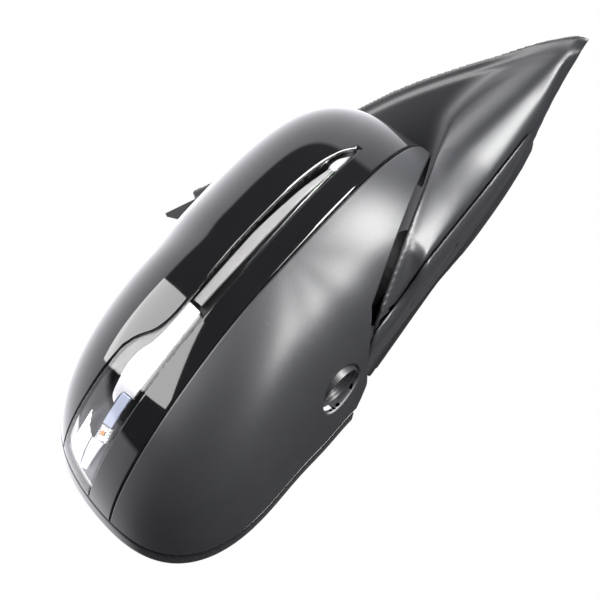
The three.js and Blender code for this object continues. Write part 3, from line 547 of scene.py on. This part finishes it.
def plate(name, loop, near, far, bevel, body, material):
    """A flat plate across v with bevelled edges, from a u, w loop."""
    loop = resample(loop, 2.0)
    if loop_area(loop) < 0:
        loop = loop[::-1]
    layers = []
    for inset, v in ((bevel, near), (bevel * 0.3, near + bevel * 0.3), (0, near + bevel), (0, far - bevel),
                     (bevel * 0.3, far - bevel * 0.3), (bevel, far)):
        edge = inset_loop(loop, inset)
        layers.append(np.stack([edge[:, 0], np.full(len(edge), v), edge[:, 1]], axis=1))
    vertices, faces = loft(layers)
    return new_piece(name, to_world(vertices), faces, body, material)


# ---------------------------------------------------------------- materials
def add_node(tree, kind, values=None, **settings):
    """A shader node of a kind, with its settings and the values of its inputs."""
    node = tree.nodes.new("ShaderNode" + kind)
    for name, value in settings.items():
        setattr(node, name, value)
    for name, value in (values or {}).items():
        node.inputs[name].default_value = value
    return node


def noise_value(tree, scale, detail=3.0):
    place = add_node(tree, "TexCoord")
    noise = add_node(tree, "TexNoise", {"Scale": scale, "Detail": detail})
    tree.links.new(place.outputs["Object"], noise.inputs["Vector"])
    return noise.outputs["Fac"]


def spread(tree, source, low, high):
    """A noise value spread over a range."""
    scale = add_node(tree, "MapRange", {"From Min": 0.3, "From Max": 0.7, "To Min": low, "To Max": high})
    tree.links.new(source, scale.inputs["Value"])
    return scale.outputs["Result"]


def tint_between(tree, factor, low, high):
    """A colour that varies between two with a factor."""
    tint = add_node(tree, "Mix", {"A": (*low, 1), "B": (*high, 1)}, data_type="RGBA")
    tree.links.new(factor, tint.inputs["Factor"])
    return tint.outputs["Result"]


def new_material(name):
    material = bpy.data.materials.new(name)
    material.use_nodes = True
    return material, material.node_tree


def finish_of(name, colour, roughness, metallic=0.0, grain=900.0, bump=0.0, patch=0.12):
    """A procedural finish: colour and roughness vary a little, and a fine grain lifts the surface."""
    material, tree = new_material(name)
    surface = tree.nodes["Principled BSDF"]
    surface.inputs["Metallic"].default_value = metallic
    dark, pale = [c * (1 - patch) for c in colour], [min(1, c * (1 + patch)) for c in colour]
    tint = tint_between(tree, noise_value(tree, 45.0), dark, pale)
    fine = noise_value(tree, grain, 2.0)
    rough = spread(tree, fine, roughness * 0.92, min(1, roughness * 1.08))
    tree.links.new(tint, surface.inputs["Base Color"])
    tree.links.new(rough, surface.inputs["Roughness"])
    if bump:
        lift = add_node(tree, "Bump", {"Strength": bump, "Distance": 0.0002})
        tree.links.new(fine, lift.inputs["Height"])
        tree.links.new(lift.outputs["Normal"], surface.inputs["Normal"])
    return material


def clear_of(name, tint, index=1.5, roughness=0.02):
    """Thin clear plastic: see-through, with reflections that grow towards grazing angles on either face.

    The Fresnel node turns its index over on a back face, so the index is turned over there first.
    """
    material, tree = new_material(name)
    tree.nodes.clear()
    output = add_node(tree, "OutputMaterial")
    mix = add_node(tree, "MixShader")
    through = add_node(tree, "BsdfTransparent")
    gloss = add_node(tree, "BsdfGlossy", {"Roughness": roughness})
    fresnel = add_node(tree, "Fresnel")
    side = add_node(tree, "NewGeometry")
    bend = add_node(tree, "MapRange", {"To Min": index, "To Max": 1 / index})
    haze = spread(tree, noise_value(tree, 60.0), 0.9, 1.0)
    shade = tint_between(tree, haze, [c * 0.85 for c in tint], tint)
    tree.links.new(shade, through.inputs["Color"])
    tree.links.new(side.outputs["Backfacing"], bend.inputs["Value"])
    tree.links.new(bend.outputs["Result"], fresnel.inputs["IOR"])
    tree.links.new(fresnel.outputs["Fac"], mix.inputs["Fac"])
    tree.links.new(through.outputs["BSDF"], mix.inputs[1])
    tree.links.new(gloss.outputs["BSDF"], mix.inputs[2])
    tree.links.new(mix.outputs["Shader"], output.inputs["Surface"])
    return material


gloss_black = finish_of("gloss_black", (0.0032, 0.0032, 0.0036), 0.035)
grained_black = finish_of("grained_black", (0.010, 0.0103, 0.0115), 0.40, grain=1700.0, bump=0.22)
frame_black = finish_of("frame_black", (0.010, 0.010, 0.011), 0.42, grain=1200.0, bump=0.15)
bezel_black = finish_of("bezel_black", (0.005, 0.005, 0.0055), 0.16, grain=1200.0, bump=0.05)
clear_plastic = clear_of("clear_plastic", (0.95, 0.95, 0.96))
guide_plastic = finish_of("guide_plastic", (0.20, 0.197, 0.19), 0.25, grain=500.0, bump=0.1)
bright_reflector = finish_of("bright_reflector", (0.93, 0.93, 0.94), 0.16, 0.6, grain=300.0)
white_panel = finish_of("white_panel", (0.88, 0.88, 0.90), 0.25, 0.0, grain=300.0)
window_grey = finish_of("window_grey", (0.33, 0.36, 0.44), 0.2, 0.2, grain=300.0)
amber = finish_of("amber", (0.55, 0.22, 0.08), 0.2, grain=300.0)
silvered_glass = finish_of("silvered_glass", (0.82, 0.85, 0.87), 0.015, 1.0, grain=200.0, patch=0.02)
soft_rubber = finish_of("soft_rubber", (0.012, 0.012, 0.013), 0.6, grain=1400.0, bump=0.25)
gear_white = finish_of("gear_white", (0.72, 0.69, 0.62), 0.45, grain=900.0, bump=0.1)
steel = finish_of("steel", (0.42, 0.43, 0.45), 0.3, 1.0, grain=1600.0, bump=0.08)
brass = finish_of("brass", (0.58, 0.40, 0.14), 0.3, 1.0, grain=1600.0, bump=0.08)
cast_aluminium = finish_of("cast_aluminium", (0.020, 0.020, 0.022), 0.6, 0.3, grain=1300.0, bump=0.35)
board_green = finish_of("board_green", (0.02, 0.14, 0.05), 0.4, grain=700.0, bump=0.1)
pocket_black = finish_of("pocket_black", (0.006, 0.006, 0.006), 0.3, grain=600.0)
SLOTS = {
    "gloss_black": gloss_black, "grained_black": grained_black, "frame_black": frame_black,
    "clear_plastic": clear_plastic, "bright_reflector": bright_reflector, "board_green": board_green,
    "silvered_glass": silvered_glass, "soft_rubber": soft_rubber, "gear_white": gear_white, "steel": steel,
    "brass": brass, "cast_aluminium": cast_aluminium,
}


# ---------------------------------------------------------------- head shells
def split_curve():
    return within_seam(flat_of(open_curve(SPLIT_LINE)))


def lens_edges():
    """The lens's upper and lower edges on the flat pattern, from its tip out and from the seam back."""
    return within_seam(flat_of(open_curve(LENS_UPPER))), within_seam(flat_of(open_curve(LENS_LOWER)))


def lens_outline():
    """Outline of the turn signal lens: along its upper edge, round the seam, back along its lower edge."""
    upper, lower = lens_edges()
    seam = seam_arc(bearing(upper[-1]), bearing(lower[0]), 24)
    return np.concatenate([upper, seam[1:-1], lower[:-1]])


def upper_cap():
    split = split_curve()
    upper, lower = lens_edges()
    corner = seam_arc(bearing(split[-1]), bearing(lower[0]), 20)
    over = seam_arc(bearing(upper[-1]), bearing(split[0]) % (2 * math.pi), 260)
    loop = np.concatenate([split, corner[1:-1], lower[:-1], upper, over[1:-1]])
    piece = shell("cap_shell", [loop], WALL, "head", gloss_black, "gloss_black")
    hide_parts("upper_cap")


def beside_arm(v):
    """How far out the housing's edge stands from the arm's front wall, at plan places v."""
    (near_u, near_v), (middle_u, middle_v), (far_u, far_v) = ARM_FRONT
    return np.interp(v, [near_v, middle_v, far_v],
                     [near_u + TURRET_GAP, middle_u + 2 * TURRET_GAP, far_u + TURRET_GAP])


def gap_edge():
    """The housing's edge over the arm: a straight line from the inboard seam, then round the turret."""
    u = np.linspace(-110, 60, 400)
    line = np.stack([u, ARM_TOP[0] + HEAD_GAP + ARM_TOP[1] * u], axis=1)
    line = line[u < beside_arm(dome_v(line))]
    front_v = np.linspace(dome_v(line[-1:])[0], ARM_FRONT[0][1], 30)
    radius = TURRET_RADIUS + TURRET_GAP
    arc = np.linspace(0.3, 0, 12)
    rear = resample_open(np.array([(radius, 0), *NOTCH_EDGE]), 2.0)
    plan_u = np.concatenate([beside_arm(front_v), radius * np.cos(arc), rear[1:, 0]])
    plan_v = np.concatenate([front_v, radius * np.sin(arc), rear[1:, 1]])
    keep = plan_v > RIM_V + 2
    plan_u, plan_v = plan_u[keep], plan_v[keep]
    around = np.stack([plan_u, underside_w(plan_u, plan_v)], axis=1)
    return within_seam(flat_of(np.concatenate([line[:-1], around])))


def lower_housing():
    split = split_curve()
    edge = gap_edge()
    inboard = seam_arc(bearing(edge[0]) % (2 * math.pi), bearing(split[0]) % (2 * math.pi), 20)
    bottom = seam_arc(bearing(edge[-1]), bearing(split[-1]), 200)
    loop = np.concatenate([split[::-1], inboard[::-1][1:-1], edge, bottom[1:-1]])
    turn = np.linspace(0, 2 * math.pi, 60, endpoint=False)
    hole_u = PUDDLE[0] + PUDDLE_OPENING * np.cos(turn)
    hole_v = PUDDLE[1] + PUDDLE_OPENING * np.sin(turn)
    hole = flat_of(np.stack([hole_u, underside_w(hole_u, hole_v)], axis=1))
    piece = shell("housing_shell", [loop, hole], WALL, "head", grained_black, "grained_black", roll=1.3)
    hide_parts("lower_housing")


def rear_bezel():
    """The frame round the mirror glass, open where the head folds past the arm."""
    angles = np.linspace(-math.pi, math.pi, 361)
    rim = about_centre(angles, rim_radius(angles))
    cut = (rim[:, 1] < FOLD_LINE[0] + FOLD_LINE[1] * rim[:, 0]) & (rim[:, 0] < NOTCH_EDGE[1][0] + 1)
    kept = angles[~cut]
    round_trip = np.linspace(kept[0], kept[-1], BEZEL_STEPS)
    seam = RIM_V + BEZEL_DEPTH - GAP
    profile = [(inset, seam - fall) for inset, fall in BEZEL_PROFILE]
    step = 1e-3
    rings = []
    for angle in round_trip:
        ahead, behind = angle + step, angle - step
        tangent = np.array([rim_radius(ahead) * math.cos(ahead) - rim_radius(behind) * math.cos(behind),
                            rim_radius(ahead) * math.sin(ahead) - rim_radius(behind) * math.sin(behind)])
        normal = np.array([tangent[1], -tangent[0]]) / np.linalg.norm(tangent)
        reach = float(rim_radius(angle))
        ray = np.array([math.cos(angle), math.sin(angle)])
        ring = []
        for inset, v in profile:
            depth = DOME_DEPTH - DOME_TAPER * (reach * ray[0])
            height = min(max((v - RIM_V) / depth, 0), 1)
            share = (1 - height ** DOME_POWER) ** (1 / DOME_POWER)
            u, w = CENTRE + ray * reach * share - normal * inset
            ring.append((u, v, w))
        rings.append(ring)
    vertices, faces = loft(rings)
    piece = new_piece("bezel_ring", to_world(vertices), faces, "head", bezel_black, sharp=40)
    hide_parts("rear_bezel")


# ---------------------------------------------------------------- turn signal
def pocket_depth(place):
    """Depth of the dark pocket under the lens: shallow where the mirror glass swings close behind it."""
    share = np.clip((place[:, 1] - POCKET_ENDS[0]) / (POCKET_ENDS[1] - POCKET_ENDS[0]), 0, 1)
    return POCKET_SHALLOW + (POCKET_DEEP - POCKET_SHALLOW) * share * share * (3 - 2 * share)


def inlay(name, outline, layer, material, slot, thickness, depth, **edge):
    """A small moulded piece under the lens, from its u, w outline seen on a layer of the dome."""
    return shell(name, [flat_of(outline, layer)], thickness, "head", material, slot, depth=depth, **edge)


def guide_ribs(flat):
    return 0.32 * np.abs(((flat[:, 0] + 0.35 * flat[:, 1]) / 1.5) % 1.0 - 0.5)


def end_ribs(flat):
    return 0.35 * np.abs((flat[:, 1] / 1.3) % 1.0 - 0.5)


def lamp_dimples(flat):
    return 0.5 * np.sin(flat[:, 0] * 2.6) * np.sin(flat[:, 1] * 2.2)


def turn_signal():
    lens = shell("signal_lens", [lens_outline()], 2.2, "head", clear_plastic, "clear_plastic", roll=0.9,
                 spacing=2.0)
    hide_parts("turn_signal_lens")
    backing = shell("signal_pocket", [lens_outline()], 1.0, "head", pocket_black, "frame_black", roll=0.3,
                    spacing=2.0, depth=pocket_depth, inset=0.6)
    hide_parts("signal_backing")

    strip = np.concatenate([open_curve(GUIDE_UPPER, 20), open_curve(GUIDE_LOWER, 20)])
    guide = inlay("ribbed_guide", strip, 5.0, guide_plastic, "clear_plastic", 1.5, 4.6, roll=0.3,
                  spacing=0.75, inset=0.0, relief=guide_ribs)
    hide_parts("light_guide")
    inlay("tip_reflector", open_curve(TIP_OUTLINE, 12), 5.0, bright_reflector, "bright_reflector", 1.2, 4.8,
          roll=1.2, spacing=1.2, inset=0.1)

    outline = np.concatenate([open_curve(REFLECTOR_UPPER, 14), np.array(REFLECTOR_END),
                              open_curve(REFLECTOR_LOWER, 14)[1:]])
    reflector = inlay("stepped_reflector", outline, 5.0, bright_reflector, "bright_reflector", 1.6, 5.2,
                      roll=0.4, spacing=1.3, inset=0.0)
    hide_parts("signal_reflector")
    inlay("sensor_window", WINDOW_OUTLINE, 3.6, window_grey, "clear_plastic", 1.4, 3.4, roll=0.5, spacing=1.5,
          inset=0.1)
    lamp = inlay("lamp_cell", LAMP_OUTLINE, 3.4, bright_reflector, "bright_reflector", 1.4, 3.4, roll=0.9,
                 spacing=0.8, inset=0.1, relief=lamp_dimples)
    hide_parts("led_board")
    inlay("amber_spot", AMBER_OUTLINE, 3.2, amber, "board_green", 0.5, 2.7, roll=0.2, spacing=0.6, inset=0.0)
    inlay("ribbed_end", END_RIBS_OUTLINE, 3.0, white_panel, "clear_plastic", 1.0, 3.2, roll=0.3, spacing=0.6,
          inset=0.1, relief=end_ribs)
    inlay("bright_end", END_OUTLINE, 3.0, white_panel, "bright_reflector", 1.0, 3.0, roll=0.6, spacing=1.0,
          inset=0.1)


# ---------------------------------------------------------------- puddle lamp, glass
def puddle_lamp():
    vertices, faces = lathe_up(PUDDLE_CUP, *PUDDLE)
    cup = new_piece("puddle_cup", vertices, faces, "head", frame_black)
    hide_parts("puddle_lamp_housing")
    vertices, faces = lathe_up(PUDDLE_LENS, *PUDDLE)
    lens = new_piece("puddle_lens", vertices, faces, "head", clear_plastic)
    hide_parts("puddle_lamp_lens")


def glass_loop():
    """Outline of the mirror glass: the rim less a margin, with its lower inboard edge cut back."""
    angles = np.linspace(-math.pi, math.pi, 240, endpoint=False)
    rim = about_centre(angles, rim_radius(angles))
    loop = inset_loop(rim, GLASS_MARGIN)
    corner = np.array(GLASS_CORNER)
    floor = np.interp(loop[:, 0], corner[:, 0], corner[:, 1])
    loop[:, 1] = np.maximum(loop[:, 1], floor)
    for _ in range(3):
        loop = (loop + np.roll(loop, 1, axis=0)) / 2
    return loop


def mirror_glass():
    glass = plate("glass_plate", glass_loop(), GLASS_BACK - GLASS_THICK, GLASS_BACK, 0.5, "glass",
                  silvered_glass)
    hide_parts("mirror_glass")


# ---------------------------------------------------------------- arm and sail
def smooth_max(a, b, reach):
    share = np.clip(0.5 + 0.5 * (a - b) / reach, 0, 1)
    return b + (a - b) * share + reach * share * (1 - share)


def smooth_min(a, b, reach):
    return -smooth_max(-a, -b, reach)


def section_values(x):
    """The arm's section sizes at distances x from the door, curving smoothly between the given ones."""
    table = np.array(ARM_SECTIONS, float)
    knots = table[:, 0]
    slopes = np.gradient(table, knots, axis=0)
    x = np.clip(x, knots[0], knots[-1])
    i = np.clip(np.searchsorted(knots, x, side="right") - 1, 0, len(knots) - 2)
    width = (knots[i + 1] - knots[i])[:, None]
    t = ((x - knots[i]) / (knots[i + 1] - knots[i]))[:, None]
    a, b = table[i], table[i + 1]
    ma, mb = slopes[i] * width, slopes[i + 1] * width
    return ((2 * t ** 3 - 3 * t ** 2 + 1) * a + (t ** 3 - 2 * t ** 2 + t) * ma
            + (3 * t ** 2 - 2 * t ** 3) * b + (t ** 3 - t ** 2) * mb)


def normalised(field):
    """A field divided by its slope, so that its values are close to millimetres."""
    gx, gy, gz = np.gradient(field, CELL)
    slope = np.sqrt(gx ** 2 + gy ** 2 + gz ** 2)
    return field / np.maximum(slope, 1e-3)


def plan_distance(u, v):
    """Distance outside the arm's plan outline: a wedge from the door that ends in a round turret."""
    corners = [*ARM_FRONT, (-260, 95), *ARM_REAR]
    wedge = np.full(u.shape, -1e3)
    for (u0, v0), (u1, v1) in zip(corners, corners[1:] + corners[:1]):
        length = math.hypot(u1 - u0, v1 - v0)
        side = ((v1 - v0) * (u - u0) - (u1 - u0) * (v - v0)) / length
        wedge = np.maximum(wedge, side)
    return np.minimum(wedge, np.hypot(u, v) - TURRET_RADIUS)


def sail_outline():
    upper = open_curve(SAIL_UPPER, 12)
    lower = open_curve([SAIL_BACK[-1], *SAIL_LOWER, SAIL_TIP], 12)
    return np.concatenate([upper, np.array(SAIL_BACK[:-1]), lower[:-1]])


def sail_fields(ys, zs):
    """Distance outside the sail's outline and distance in from its upper edge, over y and z."""
    grid_y, grid_z = np.meshgrid(ys, zs, indexing="ij")
    points = np.stack([grid_y.ravel(), grid_z.ravel()], axis=1)
    loop = sail_outline()
    distance, _ = nearest_edge(points, [loop])
    distance = np.where(in_loops(points, [loop]), -distance, distance)
    upper = open_curve(SAIL_UPPER, 12)
    there_and_back = np.concatenate([upper, upper[::-1]])
    rim, _ = nearest_edge(points, [there_and_back])
    shape = grid_y.shape
    return distance.reshape(shape), rim.reshape(shape)


def arm_fields():
    """A grid's axes, its places along each axis, and the distance outside the arm with its sail on it."""
    xs = np.arange(SAIL_X - 3 * CELL, 152, CELL)
    ys = np.arange(-124, 136, CELL)
    zs = np.arange(-54, 134, CELL)
    x, y, z = xs[:, None, None], ys[None, :, None], zs[None, None, :]
    values = section_values(xs)
    rear, front, low, high, power = (values[:, k][:, None, None] for k in range(1, 6))
    along = (y - (rear + front) / 2) / ((front - rear) / 2)
    drop = np.maximum(along, 0) ** 2 * np.maximum(0, 1 - np.maximum(x, 0) / SECTION_DROP_END) * SECTION_DROP
    drop = np.minimum(drop, 0.8)
    up = ((z - (low + high) / 2) / ((high - low) / 2) + drop) / (1 - drop)
    loft_form = (np.abs(along) ** power + np.abs(up) ** power) ** (1 / power) - 1
    loft_form = smooth_max(normalised(loft_form), x - ARM_SECTIONS[-1][0], 4)

    u = (x - PIVOT[0]) * U[0] + (y - PIVOT[1]) * U[1]
    v = (x - PIVOT[0]) * V[0] + (y - PIVOT[1]) * V[1]
    du, dw = np.broadcast_arrays(u - CENTRE[0], z - CENTRE[1] + 0 * u)
    share = np.hypot(du, dw) / rim_radius(np.arctan2(dw, du))
    height = np.maximum(v - RIM_V, 0) / (DOME_DEPTH - DOME_TAPER * du)
    dome = normalised((share ** DOME_POWER + height ** DOME_POWER) ** (1 / DOME_POWER) - 1)
    near = np.maximum(np.maximum(-62 - u, u - 60), -44 - v)
    body = smooth_min(loft_form, np.maximum(dome, near), 6)

    slope = math.hypot(1, ARM_TOP[1])
    body = smooth_max(body, (z - ARM_TOP[0] - ARM_TOP[1] * u) / slope, 1.8)
    body = smooth_max(body, plan_distance(u, v), 1.8)
    underside = UNDERSIDE_Z + UNDERSIDE_RISE * (UNDERSIDE_X - x)
    body = smooth_max(body, underside - z, 2.5)
    body = smooth_max(body, BOW[0] + BOW[1] * y + BOW[2] * x - z, 3)

    outline, rim = sail_fields(ys, zs)
    step = np.clip((rim - FLANGE_WIDTH) / 1.6, 0, 1)
    face = SAIL_X + SAIL_THICK - FLANGE_DROP * (1 - step * step * (3 - 2 * step))
    slab = smooth_max(outline[None, :, :], x - face[None, :, :], 1.2)
    form = normalised(smooth_min(body, slab, 11))
    return (xs, ys, zs), (x, y, z), form


# The corners of a grid cell.
CORNERS = [(i, j, k) for i in (0, 1) for j in (0, 1) for k in (0, 1)]


def surface_net(field, axes):
    """A quad mesh of the field's zero surface, with one vertex in each cell it crosses."""
    inside = field < 0
    size = [n - 1 for n in inside.shape]
    count = sum(inside[i:size[0] + i, j:size[1] + j, k:size[2] + k].astype(np.int8) for i, j, k in CORNERS)
    cells = np.argwhere((count > 0) & (count < 8))
    index = np.full(count.shape, -1, np.int64)
    index[tuple(cells.T)] = np.arange(len(cells))
    total = np.zeros((len(cells), 3))
    hits = np.zeros(len(cells))
    for a in CORNERS:
        for axis in range(3):
            if a[axis]:
                continue
            b = tuple(1 if k == axis else a[k] for k in range(3))
            va = field[tuple((cells + a).T)]
            vb = field[tuple((cells + b).T)]
            crosses = (va < 0) != (vb < 0)
            share = np.where(crosses, va / np.where(crosses, va - vb, 1), 0)
            place = np.array(a, float) + share[:, None] * (np.array(b) - np.array(a))
            total += place * crosses[:, None]
            hits += crosses
    local = cells + total / hits[:, None]
    origin = np.array([axis[0] for axis in axes])
    vertices = origin + local * CELL
    faces = []
    for axis in range(3):
        near = tuple(slice(0, -1) if k == axis else slice(1, -1) for k in range(3))
        far = tuple(slice(1, None) if k == axis else slice(1, -1) for k in range(3))
        crossing = inside[near] != inside[far]
        where = np.argwhere(crossing)
        full = where + np.array([0 if k == axis else 1 for k in range(3)])
        p, q = [k for k in range(3) if k != axis]
        quad = []
        for dp, dq in ((1, 1), (0, 1), (0, 0), (1, 0)):
            cell = full.copy()
            cell[:, p] -= dp
            cell[:, q] -= dq
            quad.append(index[tuple(cell.T)])
        quad = np.stack(quad, axis=1)
        starts_inside = inside[tuple(full.T)]
        flip = starts_inside if axis != 1 else ~starts_inside
        quad = np.where(flip[:, None], quad, quad[:, ::-1])
        faces.append(quad[(quad >= 0).all(axis=1)])
    return vertices, np.concatenate(faces)


def values_at(grid, axes, points):
    """Values of a grid at the points, between its nodes by trilinear interpolation."""
    place = (points - np.array([axis[0] for axis in axes])) / CELL
    base = np.clip(np.floor(place).astype(int), 0, np.array(grid.shape[:3]) - 2)
    part = place - base
    total = 0
    for i, j, k in CORNERS:
        weight = (np.where(i, part[:, 0], 1 - part[:, 0]) * np.where(j, part[:, 1], 1 - part[:, 1])
                  * np.where(k, part[:, 2], 1 - part[:, 2]))
        node = grid[base[:, 0] + i, base[:, 1] + j, base[:, 2] + k]
        total = total + (weight if grid.ndim == 3 else weight[:, None]) * node
    return total


def gradients_at(field, axes, points):
    """Unit directions in which the field rises at the points."""
    slopes = np.stack(np.gradient(field, CELL), axis=-1)
    found = values_at(slopes, axes, points)
    return found / np.maximum(np.linalg.norm(found, axis=1, keepdims=True), 1e-9)


def carved(name, solid, form, axes, node):
    """A moulded piece: a solid's distance field hollowed out to a wall inside the form."""
    field = smooth_max(smooth_max(solid, -form - ARM_WALL, 0.3), SAIL_X - axes[0][:, None, None], 0.3)
    vertices, faces = surface_net(field, axes)
    used = np.unique(faces)
    renumber = np.full(len(vertices), -1)
    renumber[used] = np.arange(len(used))
    vertices, faces = vertices[used], renumber[faces]
    depth, normals = values_at(solid, axes, vertices), gradients_at(solid, axes, vertices)
    inward = depth < -ARM_WALL / 2
    normals[inward] = -gradients_at(form, axes, vertices[inward])
    corners = [normals[i] for f in faces for i in f]
    piece = new_piece(name, vertices, faces, "base", grained_black, corners)
    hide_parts(node)


def arm_and_sail():
    axes, (x, y, z), form = arm_fields()
    boss = BOSS_HOLE - np.hypot(x - PIVOT[0], y - PIVOT[1])
    split = UNDERSIDE_Z + UNDERSIDE_RISE * (UNDERSIDE_X - x) + LOWER_COVER_HEIGHT
    under = np.maximum(z - split, LOWER_COVER_X - x)
    plug = np.hypot(x - PLUG[0], y - PLUG[1]) - PLUG[2]
    cover = smooth_max(smooth_max(form, GAP - under, SPLIT_ROUND), boss + 0 * form, 0.4)
    carved("sail_cover", cover, form, axes, "sail_and_arm_cover")
    lower = smooth_max(form, under, SPLIT_ROUND)
    carved("lower_cover", smooth_max(lower, GAP - plug, 0.9), form, axes, "arm_lower_cover")
    carved("plug_disc", smooth_max(lower, plug, 0.9), form, axes, "access_plug")


# ---------------------------------------------------------------- carried-over nodes
NODE_SLOTS = {
    "steel": ["mounting_stud_1", "mounting_stud_2", "mounting_stud_3", "pivot_shaft", "detent_ring",
              "fold_gear", "fold_spring", "spring_cup", "retaining_clip", "pan_motor", "tilt_motor",
              "fold_motor", "actuator_screw_1", "actuator_screw_2", "actuator_screw_3"],
    "soft_rubber": ["door_gasket", "cable_grommet", "wiring_harness", "glass_heater"],
    "cast_aluminium": ["base_frame"],
    "gear_white": ["cardan_ring", "pan_jack_screw", "tilt_jack_screw", "pan_gear", "tilt_gear"],
    "brass": ["pan_worm", "tilt_worm", "fold_worm"],
    "board_green": ["led_board"],
}


def paint_nodes():
    slot_of = {node: slot for slot, nodes in NODE_SLOTS.items() for node in nodes}
    for name, node in frame["nodes"].items():
        slot = slot_of.get(name, "frame_black")
        node.data.materials.clear()
        node.data.materials.append(SLOTS[slot])


# ---------------------------------------------------------------- stage
def camera_axes():
    back = np.array([math.sin(CAMERA_AZ) * math.cos(CAMERA_EL), -math.cos(CAMERA_AZ) * math.cos(CAMERA_EL),
                     math.sin(CAMERA_EL)])
    level = np.array([math.cos(CAMERA_AZ), math.sin(CAMERA_AZ), 0])
    rise = np.cross(back, level)
    right = level * math.cos(CAMERA_ROLL) - rise * math.sin(CAMERA_ROLL)
    up = level * math.sin(CAMERA_ROLL) + rise * math.cos(CAMERA_ROLL)
    return right, up, back


def add_camera():
    right, up, back = camera_axes()
    data = bpy.data.cameras.new("camera")
    data.lens = CAMERA_LENS
    data.sensor_width = CAMERA_SENSOR
    camera = bpy.data.objects.new("camera", data)
    place = Matrix(np.stack([right, up, back], axis=1).tolist()).to_4x4()
    place.translation = Vector((CAMERA_TARGET + back * CAMERA_DISTANCE) * MM)
    camera.matrix_world = place
    bpy.context.scene.collection.objects.link(camera)
    bpy.context.scene.camera = camera


def add_panel(name, middle, towards, long_axis, size, radiance):
    """A soft panel light at middle, shining along towards, with its long side along long_axis."""
    data = bpy.data.lights.new(name, "AREA")
    data.shape = "RECTANGLE"
    data.size, data.size_y = size
    data.energy = radiance * size[0] * size[1] * math.pi
    z = -Vector(towards).normalized()
    x = Vector(long_axis)
    x = (x - z * x.dot(z)).normalized()
    y = z.cross(x)
    light = bpy.data.objects.new(name, data)
    light.matrix_world = Matrix.Translation(Vector(middle)) @ Matrix((x, y, z)).transposed().to_4x4()
    bpy.context.scene.collection.objects.link(light)


def add_lights():
    """A softbox that mirrors in the cap beside the lens, and a tall one that grazes the matte housing."""
    for panel in PANELS:
        add_panel(*panel)


def add_world():
    """White towards the camera; in reflections, bright behind and above the object and dark elsewhere."""
    world = bpy.data.worlds.new("studio")
    bpy.context.scene.world = world
    world.use_nodes = True
    tree = world.node_tree
    place = add_node(tree, "TexCoord").outputs["Generated"]
    dot = add_node(tree, "VectorMath", {1: BACKDROP_AXIS}, operation="DOT_PRODUCT")
    half = add_node(tree, "Math", {1: 0.5, 2: 0.5}, operation="MULTIPLY_ADD")
    ramp = add_node(tree, "ValToRGB")
    for k, (at, value) in enumerate(BACKDROP_STOPS):
        stop = ramp.color_ramp.elements[k] if k < 2 else ramp.color_ramp.elements.new(at)
        stop.position = at
        stop.color = (value, value, value * 1.05, 1)
    height = add_node(tree, "SeparateXYZ")
    ground = add_node(tree, "MapRange", {"From Min": 0.0, "From Max": GROUND_FADE, "To Min": GROUND_LIGHT,
                                         "To Max": BACKDROP_LIGHT}, interpolation_type="SMOOTHSTEP")
    lift = add_node(tree, "VectorMath", operation="SCALE")
    seen = add_node(tree, "LightPath")
    pick = add_node(tree, "Mix", {"B": (1, 1, 1, 1)}, data_type="RGBA")
    for source, target in (
            (place, dot.inputs[0]), (dot.outputs["Value"], half.inputs[0]),
            (half.outputs[0], ramp.inputs["Fac"]),
            (place, height.inputs[0]), (height.outputs["Z"], ground.inputs["Value"]),
            (ramp.outputs["Color"], lift.inputs[0]), (ground.outputs["Result"], lift.inputs["Scale"]),
            (lift.outputs["Vector"], pick.inputs["A"]),
            (seen.outputs["Is Camera Ray"], pick.inputs["Factor"]),
            (pick.outputs["Result"], tree.nodes["Background"].inputs["Color"])):
        tree.links.new(source, target)


def floor_finish():
    """A pale floor that is see-through from below, so that the part can be looked at from there."""
    material = finish_of("pale_floor", (0.82, 0.82, 0.82), 0.9, grain=60.0, patch=0.01)
    tree = material.node_tree
    side = add_node(tree, "NewGeometry")
    clear = add_node(tree, "BsdfTransparent")
    mix = add_node(tree, "MixShader")
    tree.links.new(side.outputs["Backfacing"], mix.inputs["Fac"])
    tree.links.new(tree.nodes["Principled BSDF"].outputs["BSDF"], mix.inputs[1])
    tree.links.new(clear.outputs["BSDF"], mix.inputs[2])
    tree.links.new(mix.outputs["Shader"], tree.nodes["Material Output"].inputs["Surface"])
    return material


def add_floor():
    mesh = bpy.data.meshes.new("floor")
    corners = [(x * FLOOR_HALF, y * FLOOR_HALF, FLOOR_Z) for x, y in ((-1, -1), (1, -1), (1, 1), (-1, 1))]
    mesh.from_pydata(corners, [], [(0, 1, 2, 3)])
    floor = bpy.data.objects.new("floor", mesh)
    mesh.materials.append(floor_finish())
    bpy.context.scene.collection.objects.link(floor)
    floor.visible_glossy = False
    floor.visible_shadow = False


# ---------------------------------------------------------------- build
paint_nodes()
upper_cap()
lower_housing()
rear_bezel()
turn_signal()
puddle_lamp()
mirror_glass()
arm_and_sail()
add_camera()
add_lights()
add_world()
add_floor()
bpy.context.scene.view_settings.view_transform = "Standard"
